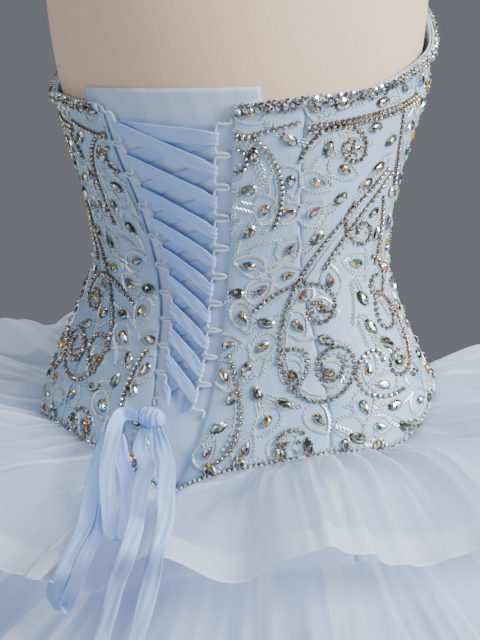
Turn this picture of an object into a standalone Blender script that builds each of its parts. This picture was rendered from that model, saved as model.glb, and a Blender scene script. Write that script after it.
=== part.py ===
"""Corset-back quinceanera gown on a limbless dress form.

Metres, +Z up. The gown's front faces -Y and its laced back faces +Y. The origin is on the
floor, under the middle of the stand's round base.

Every cloth piece is laid out on two named surfaces. The body surface is a stack of rings, and
a place on it is an angle round the body (0 at the centre back, 180 at the centre front,
positive towards the wearer's right), a height over the waist and a level outwards. The skirt
surface leaves the bodice's lower edge and runs to the hem on one smooth curve for each angle.
"""
import math

import bmesh
import bpy
from mathutils import Vector

MM = 0.001
SEAM = 0.3 * MM

# Driving sizes of the body and the skirt
WAIST_Z = 1.080
HEM_RADIUS = 0.660
HEM_Z = 0.010
SHOULDER_REACH = 0.200
SHOULDER_DROP = 0.030
SIDE_RADIUS = 0.590
SIDE_Z = 0.560
SKIRT_DROP = 4.2 * MM

# Body rings: height over the waist, half width, depth to the back, depth to the front
BODY = (
    (-0.270, 0.172, 0.106, 0.118),
    (-0.220, 0.186, 0.118, 0.130),
    (-0.180, 0.190, 0.118, 0.135),
    (-0.150, 0.188, 0.112, 0.135),
    (-0.100, 0.176, 0.095, 0.131),
    (-0.050, 0.151, 0.080, 0.120),
    (0.000, 0.132, 0.078, 0.112),
    (0.050, 0.135, 0.090, 0.109),
    (0.100, 0.147, 0.112, 0.109),
    (0.145, 0.159, 0.126, 0.113),
    (0.190, 0.168, 0.134, 0.112),
    (0.240, 0.174, 0.136, 0.106),
    (0.290, 0.177, 0.130, 0.098),
    (0.330, 0.181, 0.118, 0.090),
    (0.358, 0.176, 0.102, 0.080),
    (0.380, 0.154, 0.088, 0.072),
    (0.400, 0.118, 0.076, 0.066),
    (0.418, 0.086, 0.068, 0.061),
    (0.438, 0.066, 0.062, 0.057),
    (0.480, 0.058, 0.057, 0.055),
)

# The bust: angle and height of its fullest point, how far it stands out, and its spread
BUST_ANGLE = 143.0
BUST_HEIGHT = 0.150
BUST_RISE = 0.030
BUST_SPREAD_ANGLE = 21.0
BUST_SPREAD_HEIGHT = 0.058

# Bodice edges: angle from the centre back, height over the waist
TOP_EDGE = (
    (0.0, 0.145), (24.0, 0.146), (47.0, 0.151), (66.0, 0.155), (93.0, 0.176), (112.0, 0.191),
    (130.0, 0.217), (147.0, 0.234), (163.0, 0.214), (180.0, 0.178),
)
BOTTOM_EDGE = (
    (0.0, -0.178), (12.0, -0.158), (25.0, -0.148), (45.0, -0.139), (66.0, -0.138),
    (90.0, -0.114), (112.0, -0.100), (135.0, -0.112), (158.0, -0.146), (180.0, -0.176),
)
# The gown sits a little higher on the wearer's right
EDGE_TILT = 0.006
# The laced gap: height over the waist, distance of each back edge from the centre back
GAP_EDGE = (
    (-0.180, 0.0060), (-0.165, 0.0120), (-0.125, 0.0235), (-0.070, 0.0295), (-0.020, 0.0310),
    (0.060, 0.0440), (0.100, 0.0530), (0.145, 0.0620),
)

# The share of a panel's height under the band that carries the top edge trim
TOP_BAND = 0.965
PANEL_ROWS = 11

# Seam angles of the bodice
BACK_PRINCESS = 44.0
SIDE_SEAM = 93.0
FRONT_PRINCESS = 143.0
# Mean distance of a seam from the body's middle, which turns a seam gap into an angle
SEAM_REACH = 0.125

# Levels outwards from the body surface
FORM_LEVEL = -2.4 * MM
FORM_BUST_SHARE = 0.7
PANEL_IN, PANEL_OUT = 1.8 * MM, 3.8 * MM
MODESTY_IN, MODESTY_OUT = -0.8 * MM, 0.2 * MM
LACE_UNDER, LACE_MIDDLE, LACE_OVER = 2.0 * MM, 4.0 * MM, 6.0 * MM
RIBBON_THICKNESS = 0.8 * MM
CORD_RADIUS = 1.1 * MM
CORD_STAND_OFF = 1.9 * MM
LOOP_LEVEL = 4.0 * MM
TRIM_LEVEL = 4.8 * MM

MODESTY_TOP = 0.158
MODESTY_TOP_ANGLE = 41.0
MODESTY_SPARE = 0.020
MODESTY_BOTTOM_GAP = 0.0024

# Lacing: heights of the ten loops over the waist, and how the loops and the ribbon are cut
LOOP_HEIGHTS = (0.122, 0.095, 0.068, 0.041, 0.016, -0.008, -0.031, -0.053, -0.075, -0.097)
LOOP_SHIFT = 0.0025
LOOP_REACH = 0.0125
LOOP_TALL = 0.0235
LOOP_SHORT = 0.0190
LOOP_CORNER = 0.0014
LOOP_FOOT = 0.0010
RIBBON_HALF = 0.0065
# A slanting ribbon is a little taller than its width, measured upright
SLANT_SHARE = 1.03
TURN_RADIUS = 2.0 * MM
# Where the ribbon's two ends reach under the knot: share of the way to the loops, drop
LACE_ENDS = {-1: (0.55, 0.0078), 1: (0.15, 0.0075)}

# Bow
KNOT_ANGLE = -6.0
KNOT_HEIGHT = -0.118
KNOT_SIZE = (0.0120, 0.0085, 0.0074)
KNOT_LEVEL = 0.0116

# Top edge trim
TRIM_WIDTH = 0.0064
TRIM_RISE = 0.0030

# Underskirt and ruffles
UNDERSKIRT_WALL = 1.2 * MM
UNDERSKIRT_COLUMNS = 11
# Rows of the underskirt; those at a ruffle's start carry the ruffle's root
UNDERSKIRT_ROWS = (0.0, 0.10, 0.19, 0.295, 0.40, 0.525, 0.65, 1.0)
RUFFLE_WALL = 1.4 * MM
QUARTERS = (("back", -45.0), ("right", 45.0), ("front", 135.0), ("left", 225.0))
# Ruffle tiers: number, start and end along the skirt curve, waves all round, lift off the
# skirt at the hem, wave depth at the hem, rows of the mesh from root to hem
TIERS = (
    (1, 0.000, 0.235, 18, 0.044, 0.046, (0.0, 0.05, 0.36, 0.70, 1.0)),
    (2, 0.190, 0.450, 20, 0.034, 0.050, (0.0, 0.36, 0.70, 1.0)),
    (3, 0.400, 0.700, 20, 0.036, 0.050, (0.0, 0.36, 0.70, 1.0)),
    (4, 0.650, 0.990, 22, 0.036, 0.044, (0.0, 0.36, 0.70, 1.0)),
)
COLUMNS_PER_WAVE = 6
ROOT_LIFT = 1.0 * MM
# How much more the ruffles stand out at the sides
SIDE_PUFF = 0.35

# Stand
POLE_RADIUS = 0.016
BASE_RADIUS = 0.190
BASE_HEIGHT = 0.022
FORM_BOTTOM = -0.250
FORM_TOP = 0.480
CAP_RADIUS = 0.050
CAP_HEIGHT = 0.012

# Finishes: base colour, roughness, metallic
FINISHES = {
    "jersey": ((0.74, 0.62, 0.51), 0.85, 0.0),
    "bodice": ((0.60, 0.69, 0.84), 0.45, 0.0),
    "satin": ((0.50, 0.62, 0.85), 0.35, 0.0),
    "organza": ((0.66, 0.72, 0.84), 0.60, 0.0),
    "lining": ((0.55, 0.65, 0.82), 0.55, 0.0),
    "stones": ((0.80, 0.82, 0.86), 0.15, 0.2),
    "steel": ((0.35, 0.35, 0.36), 0.35, 1.0),
}


def clear_scene():
    for item in list(bpy.data.objects):
        bpy.data.objects.remove(item, do_unlink=True)


def finish(name):
    """The material of one finish, made once."""
    if name in bpy.data.materials:
        return bpy.data.materials[name]
    colour, roughness, metallic = FINISHES[name]
    material = bpy.data.materials.new(name)
    material.use_nodes = True
    shader = material.node_tree.nodes["Principled BSDF"]
    shader.inputs["Base Color"].default_value = (*colour, 1.0)
    shader.inputs["Roughness"].default_value = roughness
    shader.inputs["Metallic"].default_value = metallic
    return material


def slope(table, index, column):
    """The slope of a table's curve at one of its rows, for the smooth reading below."""
    low = max(index - 1, 0)
    high = min(index + 1, len(table) - 1)
    return (table[high][column] - table[low][column]) / (table[high][0] - table[low][0])


def read(table, key, column=1):
    """A smooth curve through one column of a table, read at a value of its first column."""
    if key <= table[0][0]:
        return table[0][column]
    if key >= table[-1][0]:
        return table[-1][column]
    index = max(i for i in range(len(table) - 1) if table[i][0] <= key)
    start, end = table[index], table[index + 1]
    width = end[0] - start[0]
    t = (key - start[0]) / width
    rise = slope(table, index, column) * width
    fall = slope(table, index + 1, column) * width
    return ((2 * t ** 3 - 3 * t ** 2 + 1) * start[column] + (t ** 3 - 2 * t ** 2 + t) * rise
            + (3 * t ** 2 - 2 * t ** 3) * end[column] + (t ** 3 - t ** 2) * fall)


def wrap(angle):
    """An angle brought to between -180 and 180 degrees."""
    return (angle + 180.0) % 360.0 - 180.0


def bust(angle, height):
    """How far the bust stands out of the plain ring."""
    across = (abs(wrap(angle)) - BUST_ANGLE) / BUST_SPREAD_ANGLE
    along = (height - BUST_HEIGHT) / BUST_SPREAD_HEIGHT
    return BUST_RISE * math.exp(-across ** 2 - along ** 2)


def outward(angle, height):
    """The level direction that points straight out of the body at one place."""
    half_width = read(BODY, height, 1)
    turn = math.radians(angle)
    depth = read(BODY, height, 2 if math.cos(turn) > 0 else 3)
    return Vector((-depth * math.sin(turn), half_width * math.cos(turn), 0.0)).normalized()


def body(angle, height, level, bust_share=1.0):
    """A point on the body surface, moved outwards by a level."""
    half_width = read(BODY, height, 1)
    turn = math.radians(angle)
    depth = read(BODY, height, 2 if math.cos(turn) > 0 else 3)
    place = Vector((-half_width * math.sin(turn), depth * math.cos(turn), WAIST_Z + height))
    return place + outward(angle, height) * (level + bust_share * bust(angle, height))


def angle_of(distance, height):
    """The angle of a place that lies a sideways distance from the centre back."""
    return math.degrees(math.asin(distance / read(BODY, height, 1)))


def tilt(angle):
    return EDGE_TILT * math.sin(math.radians(angle))


def bottom_edge(angle):
    return read(BOTTOM_EDGE, abs(wrap(angle))) + tilt(angle)


def top_edge(angle):
    return read(TOP_EDGE, abs(wrap(angle))) + tilt(angle)


def skirt(angle, s):
    """A point on the skirt surface; s runs from 0 under the bodice to 1 at the hem."""
    height = bottom_edge(angle) - SKIRT_DROP
    start = body(angle, height, 0.6 * MM)
    out = outward(angle, height)
    turn = math.radians(angle)
    round_way = Vector((-math.sin(turn), math.cos(turn), 0.0))
    shoulder = start + out * SHOULDER_REACH - Vector((0, 0, SHOULDER_DROP))
    side = round_way * SIDE_RADIUS + Vector((0, 0, SIDE_Z))
    hem = round_way * HEM_RADIUS + Vector((0, 0, HEM_Z))
    r = 1.0 - s
    return start * r ** 3 + shoulder * 3 * r * r * s + side * 3 * r * s * s + hem * s ** 3


def surface_normal(place, angle, s):
    """The outward normal of a surface given as place(angle, s)."""
    step_angle, step_s = 0.05, 0.0005
    low, high = max(s - step_s, 0.0), min(s + step_s, 1.0)
    along = place(angle, high) - place(angle, low)
    across = place(angle + step_angle, s) - place(angle - step_angle, s)
    return along.cross(across).normalized()


def wave(angle, count):
    """Uneven ruffle waves between 0 and 1, whole round the skirt."""
    turn = math.radians(angle)
    phase = count * turn + 0.55 * math.sin(3 * turn + 1.0) + 0.40 * math.sin(5 * turn + count)
    height = 0.80 + 0.20 * math.sin(7 * turn + 2.0 * count)
    return height * 0.5 * (1.0 + math.cos(phase))


def ruffle_place(tier):
    """The surface of one ruffle tier, as a function of the angle and the way to its hem."""
    start, end, count, lift, depth = tier[1:6]

    def place(angle, t):
        s = start + (end - start) * t
        puff = math.sin(min(t * 1.25, 1.0) * math.pi / 2) ** 1.6
        stand = lift * puff * (1.0 + SIDE_PUFF * math.sin(math.radians(angle)) ** 2)
        crest = depth * t ** 1.3 * wave(angle, count)
        rise = ROOT_LIFT + RUFFLE_WALL / 2 + stand + crest
        return skirt(angle, s) + surface_normal(skirt, angle, s) * rise

    return place


def make_object(name, mesh_data, material):
    """A named object from a bmesh, with its faces pointing out."""
    bmesh.ops.recalc_face_normals(mesh_data, faces=mesh_data.faces)
    mesh = bpy.data.meshes.new(name)
    mesh_data.to_mesh(mesh)
    mesh_data.free()
    mesh.materials.append(finish(material))
    item = bpy.data.objects.new(name, mesh)
    bpy.context.collection.objects.link(item)
    mesh.shade_smooth()
    mesh.set_sharp_from_angle(angle=math.radians(40.0))
    return item


def wall(name, outer, inner, material):
    """One closed wall between two equal grids of points, with the same diagonals on both."""
    shape = bmesh.new()
    front = [[shape.verts.new(p) for p in row] for row in outer]
    back = [[shape.verts.new(p) for p in row] for row in inner]
    rows, columns = len(front), len(front[0])
    for grid in (front, back):
        for i in range(rows - 1):
            for j in range(columns - 1):
                a, b = grid[i][j], grid[i][j + 1]
                c, d = grid[i + 1][j + 1], grid[i + 1][j]
                shape.faces.new((a, b, c))
                shape.faces.new((a, c, d))
    rim = [(0, j) for j in range(columns)] + [(i, columns - 1) for i in range(1, rows)]
    rim += [(rows - 1, j) for j in range(columns - 2, -1, -1)]
    rim += [(i, 0) for i in range(rows - 2, 0, -1)]
    for here, after in zip(rim, rim[1:] + rim[:1]):
        a, b = front[here[0]][here[1]], front[after[0]][after[1]]
        c, d = back[after[0]][after[1]], back[here[0]][here[1]]
        shape.faces.new((a, b, c))
        shape.faces.new((a, c, d))
    return make_object(name, shape, material)


def rod(name, rings, material):
    """One closed rod through rings of points, with flat ends."""
    shape = bmesh.new()
    loops = [[shape.verts.new(p) for p in ring] for ring in rings]
    count = len(loops[0])
    shape.faces.new(loops[0])
    shape.faces.new(loops[-1])
    for near, far in zip(loops, loops[1:]):
        for k in range(count):
            after = (k + 1) % count
            shape.faces.new((near[k], near[after], far[after]))
            shape.faces.new((near[k], far[after], far[k]))
    return make_object(name, shape, material)


def spread(start, end, count):
    """Equal steps from one value to another, both ends counted."""
    return [start + (end - start) * i / (count - 1) for i in range(count)]


def panel(name, low_side, high_side, columns):
    """A bodice panel between two sides, each an angle that may change with the height."""
    outer, inner = [], []
    for v in spread(0.0, TOP_BAND, PANEL_ROWS - 1) + [1.0]:
        out_row, in_row = [], []
        for u in spread(0.0, 1.0, columns):
            height = 0.0
            for _ in range(8):
                low, high = low_side(height), high_side(height)
                angle = low + (high - low) * u
                height = bottom_edge(angle) + (top_edge(angle) - bottom_edge(angle)) * v
            out_row.append(body(angle, height, PANEL_OUT))
            in_row.append(body(angle, height, PANEL_IN))
        outer.append(out_row)
        inner.append(in_row)
    return wall(name, outer, inner, "bodice")


def make_bodice():
    """Seven panels; each seam leaves half the seam gap on both of its sides."""
    half_gap = math.degrees(SEAM / 2 / SEAM_REACH)

    def seam(angle, side):
        return lambda height: angle + side * half_gap

    def gap(side):
        return lambda height: side * angle_of(read(GAP_EDGE, height), height)

    for side, word in ((1, "right"), (-1, "left")):
        princess = side * BACK_PRINCESS
        side_line = side * SIDE_SEAM
        front_line = side * FRONT_PRINCESS
        panel(f"bodice_back_{word}", gap(side), seam(princess, -side), 7)
        panel(f"bodice_side_back_{word}", seam(princess, side), seam(side_line, -side), 6)
        panel(f"bodice_side_front_{word}", seam(side_line, side), seam(front_line, -side), 7)
    panel("bodice_front_centre", seam(FRONT_PRINCESS, 1), seam(360 - FRONT_PRINCESS, -1), 11)


def make_modesty_panel():
    """The plain piece behind the lacing; its lower end stops just over the skirt."""
    outer, inner = [], []
    for v in spread(0.0, 1.0, 11):
        out_row, in_row = [], []
        for u in spread(-1.0, 1.0, 9):
            height = -0.1
            for _ in range(8):
                gap = angle_of(read(GAP_EDGE, height) + MODESTY_SPARE, height)
                angle = u * min(gap, MODESTY_TOP_ANGLE)
                low = bottom_edge(angle) + MODESTY_BOTTOM_GAP
                height = low + (MODESTY_TOP + tilt(angle) - low) * v
            out_row.append(body(angle, height, MODESTY_OUT))
            in_row.append(body(angle, height, MODESTY_IN))
        outer.append(out_row)
        inner.append(in_row)
    wall("modesty_panel", outer, inner, "satin")


def lace_point(distance, height, level):
    """A point beside the laced gap, by its sideways distance from the centre back."""
    return body(angle_of(distance, height), height, level)


def loop_size(height):
    """The height of a lacing loop, tall at the top and shorter at the waist and below."""
    share = min(max((height + 0.02) / 0.14, 0.0), 1.0)
    return LOOP_SHORT + (LOOP_TALL - LOOP_SHORT) * share


def loop_heights(side):
    """The loops on the wearer's right lie a little lower than those on the left."""
    return [height - side * LOOP_SHIFT for height in LOOP_HEIGHTS]


def cord_route(side):
    """Distance in from the back edge, height and level along one edge's loop cord."""
    heights = loop_heights(side)
    stand_off = CORD_STAND_OFF
    low_level = (PANEL_IN + PANEL_OUT) / 2
    route = [(stand_off, heights[0] + 0.017, low_level)]
    for height in heights:
        half = loop_size(height) / 2
        route += [
            (stand_off, height + half + LOOP_FOOT, low_level),
            (LOOP_REACH * 0.55, height + half, LOOP_LEVEL),
            (LOOP_REACH, height + half - LOOP_CORNER, LOOP_LEVEL),
            (LOOP_REACH, height - half + LOOP_CORNER, LOOP_LEVEL),
            (LOOP_REACH * 0.55, height - half, LOOP_LEVEL),
            (stand_off, height - half - LOOP_FOOT, low_level),
        ]
    route.append((stand_off, heights[-1] - 0.016, low_level))
    return route


def make_loops():
    """One cord on each back edge, bent out into ten loops."""
    sides = 5
    for side, word in ((1, "right"), (-1, "left")):
        points, outs = [], []
        for inset, height, level in cord_route(side):
            distance = side * (read(GAP_EDGE, height) - inset)
            points.append(lace_point(distance, height, level))
            outs.append(outward(angle_of(distance, height), height))
        rings = []
        for i, point in enumerate(points):
            before, after = points[max(i - 1, 0)], points[min(i + 1, len(points) - 1)]
            along = (after - before).normalized()
            side_way = along.cross(outs[i]).normalized()
            up_way = side_way.cross(along)
            ring = []
            for k in range(sides):
                turn = 2 * math.pi * k / sides
                ring.append(point + (side_way * math.cos(turn) + up_way * math.sin(turn)) * CORD_RADIUS)
            rings.append(ring)
        rod(f"loop_cord_{word}", rings, "satin")


def strand(start_side, start, end, levels):
    """Points of one ribbon strand between two loops; levels change along the way.

    A point is a share of the way from the centre back to the loop bars, a step past the
    bars, a height over the waist and a level.
    """
    points = []
    for share, level in levels:
        height = start + (end - start) * share
        points.append((start_side * (1.0 - 2.0 * share), 0.0, height, level))
    return points


def turn_round(side, height, start_level, end_level):
    """Points of the ribbon's turn round a loop's bar."""
    middle = (start_level + end_level) / 2
    lean = TURN_RADIUS * 0.71
    sign = 1 if end_level > start_level else -1
    return [
        (side, side * lean, height, middle - sign * lean),
        (side, side * TURN_RADIUS, height, middle),
        (side, side * lean, height, middle + sign * lean),
    ]


def lacing_route():
    """The whole lacing, from the last right loop up to the top bar and down to the last left."""
    flat_over = [(share, LACE_OVER) for share in spread(0.0, 1.0, 5)]
    flat_under = [(share, LACE_UNDER) for share in spread(0.0, 1.0, 5)]
    last = len(LOOP_HEIGHTS) - 1
    heights = {side: loop_heights(side) for side in (-1, 1)}
    down = {}
    for first_side in (-1, 1):
        route = []
        side, over = first_side, first_side < 0
        for k in range(last):
            level = LACE_OVER if over else LACE_UNDER
            route += strand(side, heights[side][k], heights[-side][k + 1],
                            flat_over if over else flat_under)
            side, over = -side, not over
            after = LACE_OVER if over else LACE_UNDER
            route += turn_round(side, heights[side][k + 1], level, after)
        end_share, end_drop = LACE_ENDS[side]
        route.append((side, 0.0, heights[side][last], after))
        route.append((side * end_share, 0.0, heights[side][last] - end_drop, after))
        down[first_side] = route
    bar = strand(-1, heights[-1][0], heights[1][0],
                 ((0.0, LACE_UNDER), (0.08, LACE_UNDER), (0.25, LACE_MIDDLE),
                  (0.5, LACE_MIDDLE), (0.75, LACE_MIDDLE), (0.92, LACE_OVER), (1.0, LACE_OVER)))
    left_turn = turn_round(-1, heights[-1][0], LACE_OVER, LACE_UNDER)
    right_turn = turn_round(1, heights[1][0], LACE_OVER, LACE_UNDER)
    return list(reversed(down[-1])) + left_turn + bar + right_turn + down[1]


def ribbon_wall(name, centres, outs, ups):
    """A ribbon along centre points, with its flat face towards outs and its width along ups."""
    outer, inner = [], []
    for centre, out, up in zip(centres, outs, ups):
        face = out * (RIBBON_THICKNESS / 2)
        outer.append([centre + up * k * RIBBON_HALF + face for k in (-1, 1)])
        inner.append([centre + up * k * RIBBON_HALF - face for k in (-1, 1)])
    return wall(name, outer, inner, "satin")


def make_lacing():
    """The ribbon follows the body, so both of its edges lie at the strand's own level."""
    route = lacing_route()
    outer, inner = [], []
    half = RIBBON_THICKNESS / 2
    for i, (share, past, height, level) in enumerate(route):
        reach = read(GAP_EDGE, height) - LOOP_REACH
        before, after = route[max(i - 1, 0)], route[min(i + 1, len(route) - 1)]
        run = (after[0] - before[0]) * reach + after[1] - before[1]
        climb = after[3] - before[3]
        length = math.hypot(run, climb)
        rows = ([], [])
        for k in (-1, 1):
            edge_height = height + k * RIBBON_HALF * SLANT_SHARE
            edge_reach = read(GAP_EDGE, edge_height) - LOOP_REACH
            for row, way in zip(rows, (half, -half)):
                shifted = share * edge_reach + past - way * climb / length
                row.append(lace_point(shifted, edge_height, level + way * run / length))
        outer.append(rows[0])
        inner.append(rows[1])
    wall("lacing_ribbon", outer, inner, "satin")


def smooth_path(points, steps):
    """A Catmull-Rom curve through points, with the same number of steps between each pair."""
    path = []
    last = len(points) - 1
    for i in range(last):
        a, b = points[max(i - 1, 0)], points[i]
        c, d = points[i + 1], points[min(i + 2, last)]
        for k in range(steps):
            t = k / steps
            path.append(0.5 * (2 * b + (c - a) * t + (2 * a - 5 * b + 4 * c - d) * t * t
                               + (3 * b - a - 3 * c + d) * t ** 3))
    path.append(points[-1].copy())
    return path


def hang(angle, s, level):
    """A point that lies over the ruffles, on the skirt surface moved out by a level."""
    return skirt(angle, s) + surface_normal(skirt, angle, s) * level


# Tails and loops of the bow: what a row lies over, its angle, its height over the waist or its
# way along the skirt, its level, and the lean of the ribbon's width from level to upright
BOW_STRANDS = {
    "bow_loop_short": (
        ("body", -9.0, -0.1165, 0.0184, 80.0), ("body", -13.5, -0.1170, 0.0225, 62.0),
        ("skirt", -11.5, 0.050, 0.0470, 0.0), ("skirt", -7.5, 0.090, 0.0550, 0.0),
        ("skirt", -2.5, 0.130, 0.0670, 0.0), ("skirt", 9.0, 0.173, 0.0645, 0.0),
        ("skirt", 11.0, 0.200, 0.0700, 0.0), ("skirt", 13.0, 0.213, 0.0745, 0.0),
        ("skirt", 13.0, 0.200, 0.0740, 0.0), ("skirt", 10.0, 0.154, 0.0570, 0.0),
        ("skirt", -2.8, 0.092, 0.0500, 0.0), ("skirt", -10.4, 0.040, 0.0300, 0.0),
        ("body", -12.0, -0.1320, 0.0240, 5.0),
    ),
    "bow_loop_long": (
        ("body", -9.6, -0.1190, 0.0105, 78.0), ("body", -15.5, -0.1220, 0.0108, 62.0),
        ("skirt", -13.0, 0.052, 0.0385, 0.0), ("skirt", -9.5, 0.092, 0.0430, 0.0),
        ("skirt", 2.0, 0.128, 0.0575, 0.0), ("skirt", -2.0, 0.171, 0.0645, 0.0),
        ("skirt", 5.0, 0.203, 0.0620, 0.0), ("skirt", 5.5, 0.232, 0.0665, 0.0),
        ("skirt", 4.0, 0.244, 0.0560, 0.0), ("skirt", 4.8, 0.250, 0.0470, 0.0),
        ("skirt", 6.6, 0.241, 0.0570, 0.0), ("skirt", 8.0, 0.219, 0.0660, 0.0),
        ("skirt", 6.5, 0.180, 0.0550, 0.0), ("skirt", 0.0, 0.131, 0.0540, 0.0),
    ),
    "ribbon_tail_left": (
        ("body", -7.6, -0.1258, 0.0118, 0.0), ("body", -6.8, -0.1410, 0.0180, 0.0),
        ("skirt", -2.6, 0.061, 0.0530, 0.0), ("skirt", 11.0, 0.134, 0.0570, 0.0),
        ("skirt", 15.0, 0.202, 0.0845, 0.0), ("skirt", 16.0, 0.240, 0.0985, 0.0),
        ("skirt", 14.5, 0.257, 0.0845, 0.0), ("skirt", 13.5, 0.275, 0.0715, 0.0),
        ("skirt", 12.5, 0.296, 0.0610, 0.0), ("skirt", 12.0, 0.342, 0.0545, 0.0),
    ),
    "ribbon_tail_right": (
        ("body", -3.7, -0.1249, 0.0118, 0.0), ("body", 0.4, -0.1410, 0.0185, 0.0),
        ("skirt", 13.5, 0.100, 0.0560, 0.0), ("skirt", 18.0, 0.175, 0.0860, 0.0),
        ("skirt", 19.0, 0.207, 0.0890, 0.0), ("skirt", 19.0, 0.236, 0.0935, 0.0),
        ("skirt", 18.0, 0.255, 0.0785, 0.0), ("skirt", 17.3, 0.275, 0.0695, 0.0),
        ("skirt", 16.5, 0.297, 0.0610, 0.0), ("skirt", 16.0, 0.340, 0.0565, 0.0),
    ),
}
STRAND_STEPS = 2


def make_bow():
    """A knot on the gap's lower end, two loops and two tails that hang over the ruffles."""
    centre = body(KNOT_ANGLE, KNOT_HEIGHT, KNOT_LEVEL)
    out = outward(KNOT_ANGLE, KNOT_HEIGHT)
    side_way = Vector((0, 0, 1)).cross(out)
    rings = []
    for i in range(1, 8):
        lean = math.pi * i / 8
        across, size = math.cos(lean), math.sin(lean) ** 0.6
        ring = []
        for k in range(10):
            turn = 2 * math.pi * k / 10
            ring.append(centre + side_way * across * KNOT_SIZE[0]
                        + Vector((0, 0, 1)) * math.cos(turn) * size * KNOT_SIZE[1]
                        + out * math.sin(turn) * size * KNOT_SIZE[2])
        rings.append(ring)
    rod("bow_knot", rings, "satin")
    for name, rows in BOW_STRANDS.items():
        points, ways = [], []
        for kind, angle, way, level, lean in rows:
            on_body = kind == "body"
            points.append(body(angle, way, level) if on_body else hang(angle, way, level))
            level_way = outward(angle, way if on_body else bottom_edge(angle)).cross(Vector((0, 0, 1)))
            turn = math.radians(lean)
            ways.append(level_way * math.cos(turn) + Vector((0, 0, math.sin(turn))))
        centres = smooth_path(points, STRAND_STEPS)
        round_ways = smooth_path(ways, STRAND_STEPS)
        outs, ups = [], []
        for i, centre in enumerate(centres):
            before, after = centres[max(i - 1, 0)], centres[min(i + 1, len(centres) - 1)]
            along = (after - before).normalized()
            round_way = round_ways[i].normalized()
            width = (round_way - along * round_way.dot(along)).normalized()
            ups.append(width)
            outs.append(along.cross(width))
        ribbon_wall(name, centres, outs, ups)


def make_trim():
    """A raised band of set stones that follows the top edge from one back edge to the other."""
    steps = 46
    first = angle_of(read(GAP_EDGE, 0.141), 0.141) + 0.6
    rings = []
    for angle in spread(first, 360.0 - first, steps):
        height = top_edge(angle) - SEAM - TRIM_WIDTH / 2
        ring = []
        for across, rise in ((-1.0, 0.0), (-0.62, 0.85), (0.0, 1.0), (0.62, 0.85), (1.0, 0.0)):
            place = height + across * TRIM_WIDTH / 2
            ring.append(body(angle, place, TRIM_LEVEL + rise * TRIM_RISE))
        rings.append(ring)
    rod("top_edge_trim", rings, "stones")


def quarter_wall(name, place, first_angle, columns, rows, thickness, material):
    """A quarter of a round cloth piece, half a seam gap short at both sides."""
    outer, inner = [], []
    for t in rows:
        out_row, in_row = [], []
        trim = math.degrees(SEAM / 2 / math.hypot(*place(first_angle, t).xy))
        for angle in spread(first_angle + trim, first_angle + 90.0 - trim, columns):
            point = place(angle, t)
            normal = surface_normal(place, angle, t)
            out_row.append(point + normal * thickness / 2)
            in_row.append(point - normal * thickness / 2)
        outer.append(out_row)
        inner.append(in_row)
    return wall(name, outer, inner, material)


def make_skirt():
    """Four gores under four tiers of ruffles, each tier in four quarters."""
    def underskirt(angle, s):
        return skirt(angle, s) - surface_normal(skirt, angle, s) * UNDERSKIRT_WALL / 2

    for word, first_angle in QUARTERS:
        quarter_wall(f"underskirt_{word}", underskirt, first_angle, UNDERSKIRT_COLUMNS,
                     UNDERSKIRT_ROWS, UNDERSKIRT_WALL, "lining")
        for tier in TIERS:
            columns = tier[3] * COLUMNS_PER_WAVE // 8 * 2 + 1
            quarter_wall(f"ruffle_{tier[0]}_{word}", ruffle_place(tier), first_angle, columns,
                         tier[6], RUFFLE_WALL, "organza")


def turned(name, profile, material, sides):
    """A closed turned solid from rows of radius and height."""
    rings = []
    for radius, z in profile:
        turns = [2 * math.pi * k / sides for k in range(sides)]
        rings.append([Vector((radius * math.cos(turn), radius * math.sin(turn), z)) for turn in turns])
    return rod(name, rings, material)


def make_form():
    """The jersey torso, its neck cap, the pole and the round base."""
    heights = [FORM_BOTTOM, FORM_BOTTOM + 0.012] + spread(-0.215, 0.36, 19)
    heights += [0.378, 0.396, 0.412, 0.432, FORM_TOP]
    rings = []
    for i, height in enumerate(heights):
        level = FORM_LEVEL - (0.014 if i == 0 else 0.0)
        rings.append([body(angle, height, level, FORM_BUST_SHARE)
                      for angle in spread(0.0, 360.0, 31)[:-1]])
    rod("form_torso", rings, "jersey")
    top = WAIST_Z + FORM_TOP
    turned("form_neck_cap", ((CAP_RADIUS, top + SEAM), (CAP_RADIUS, top + SEAM + CAP_HEIGHT * 0.6),
                             (CAP_RADIUS * 0.8, top + SEAM + CAP_HEIGHT)), "steel", 20)
    turned("stand_pole", ((POLE_RADIUS, BASE_HEIGHT + SEAM),
                          (POLE_RADIUS, WAIST_Z + FORM_BOTTOM - SEAM)),
           "steel", 16)
    turned("stand_base", ((BASE_RADIUS, 0.0), (BASE_RADIUS, BASE_HEIGHT * 0.45),
                          (BASE_RADIUS * 0.96, BASE_HEIGHT * 0.8), (POLE_RADIUS * 2.2, BASE_HEIGHT)),
           "steel", 32)


clear_scene()
make_form()
make_modesty_panel()
make_bodice()
make_loops()
make_lacing()
make_bow()
make_trim()
make_skirt()
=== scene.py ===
"""Corset-back quinceanera gown on a limbless dress form: the looks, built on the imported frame."""
import math

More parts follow.
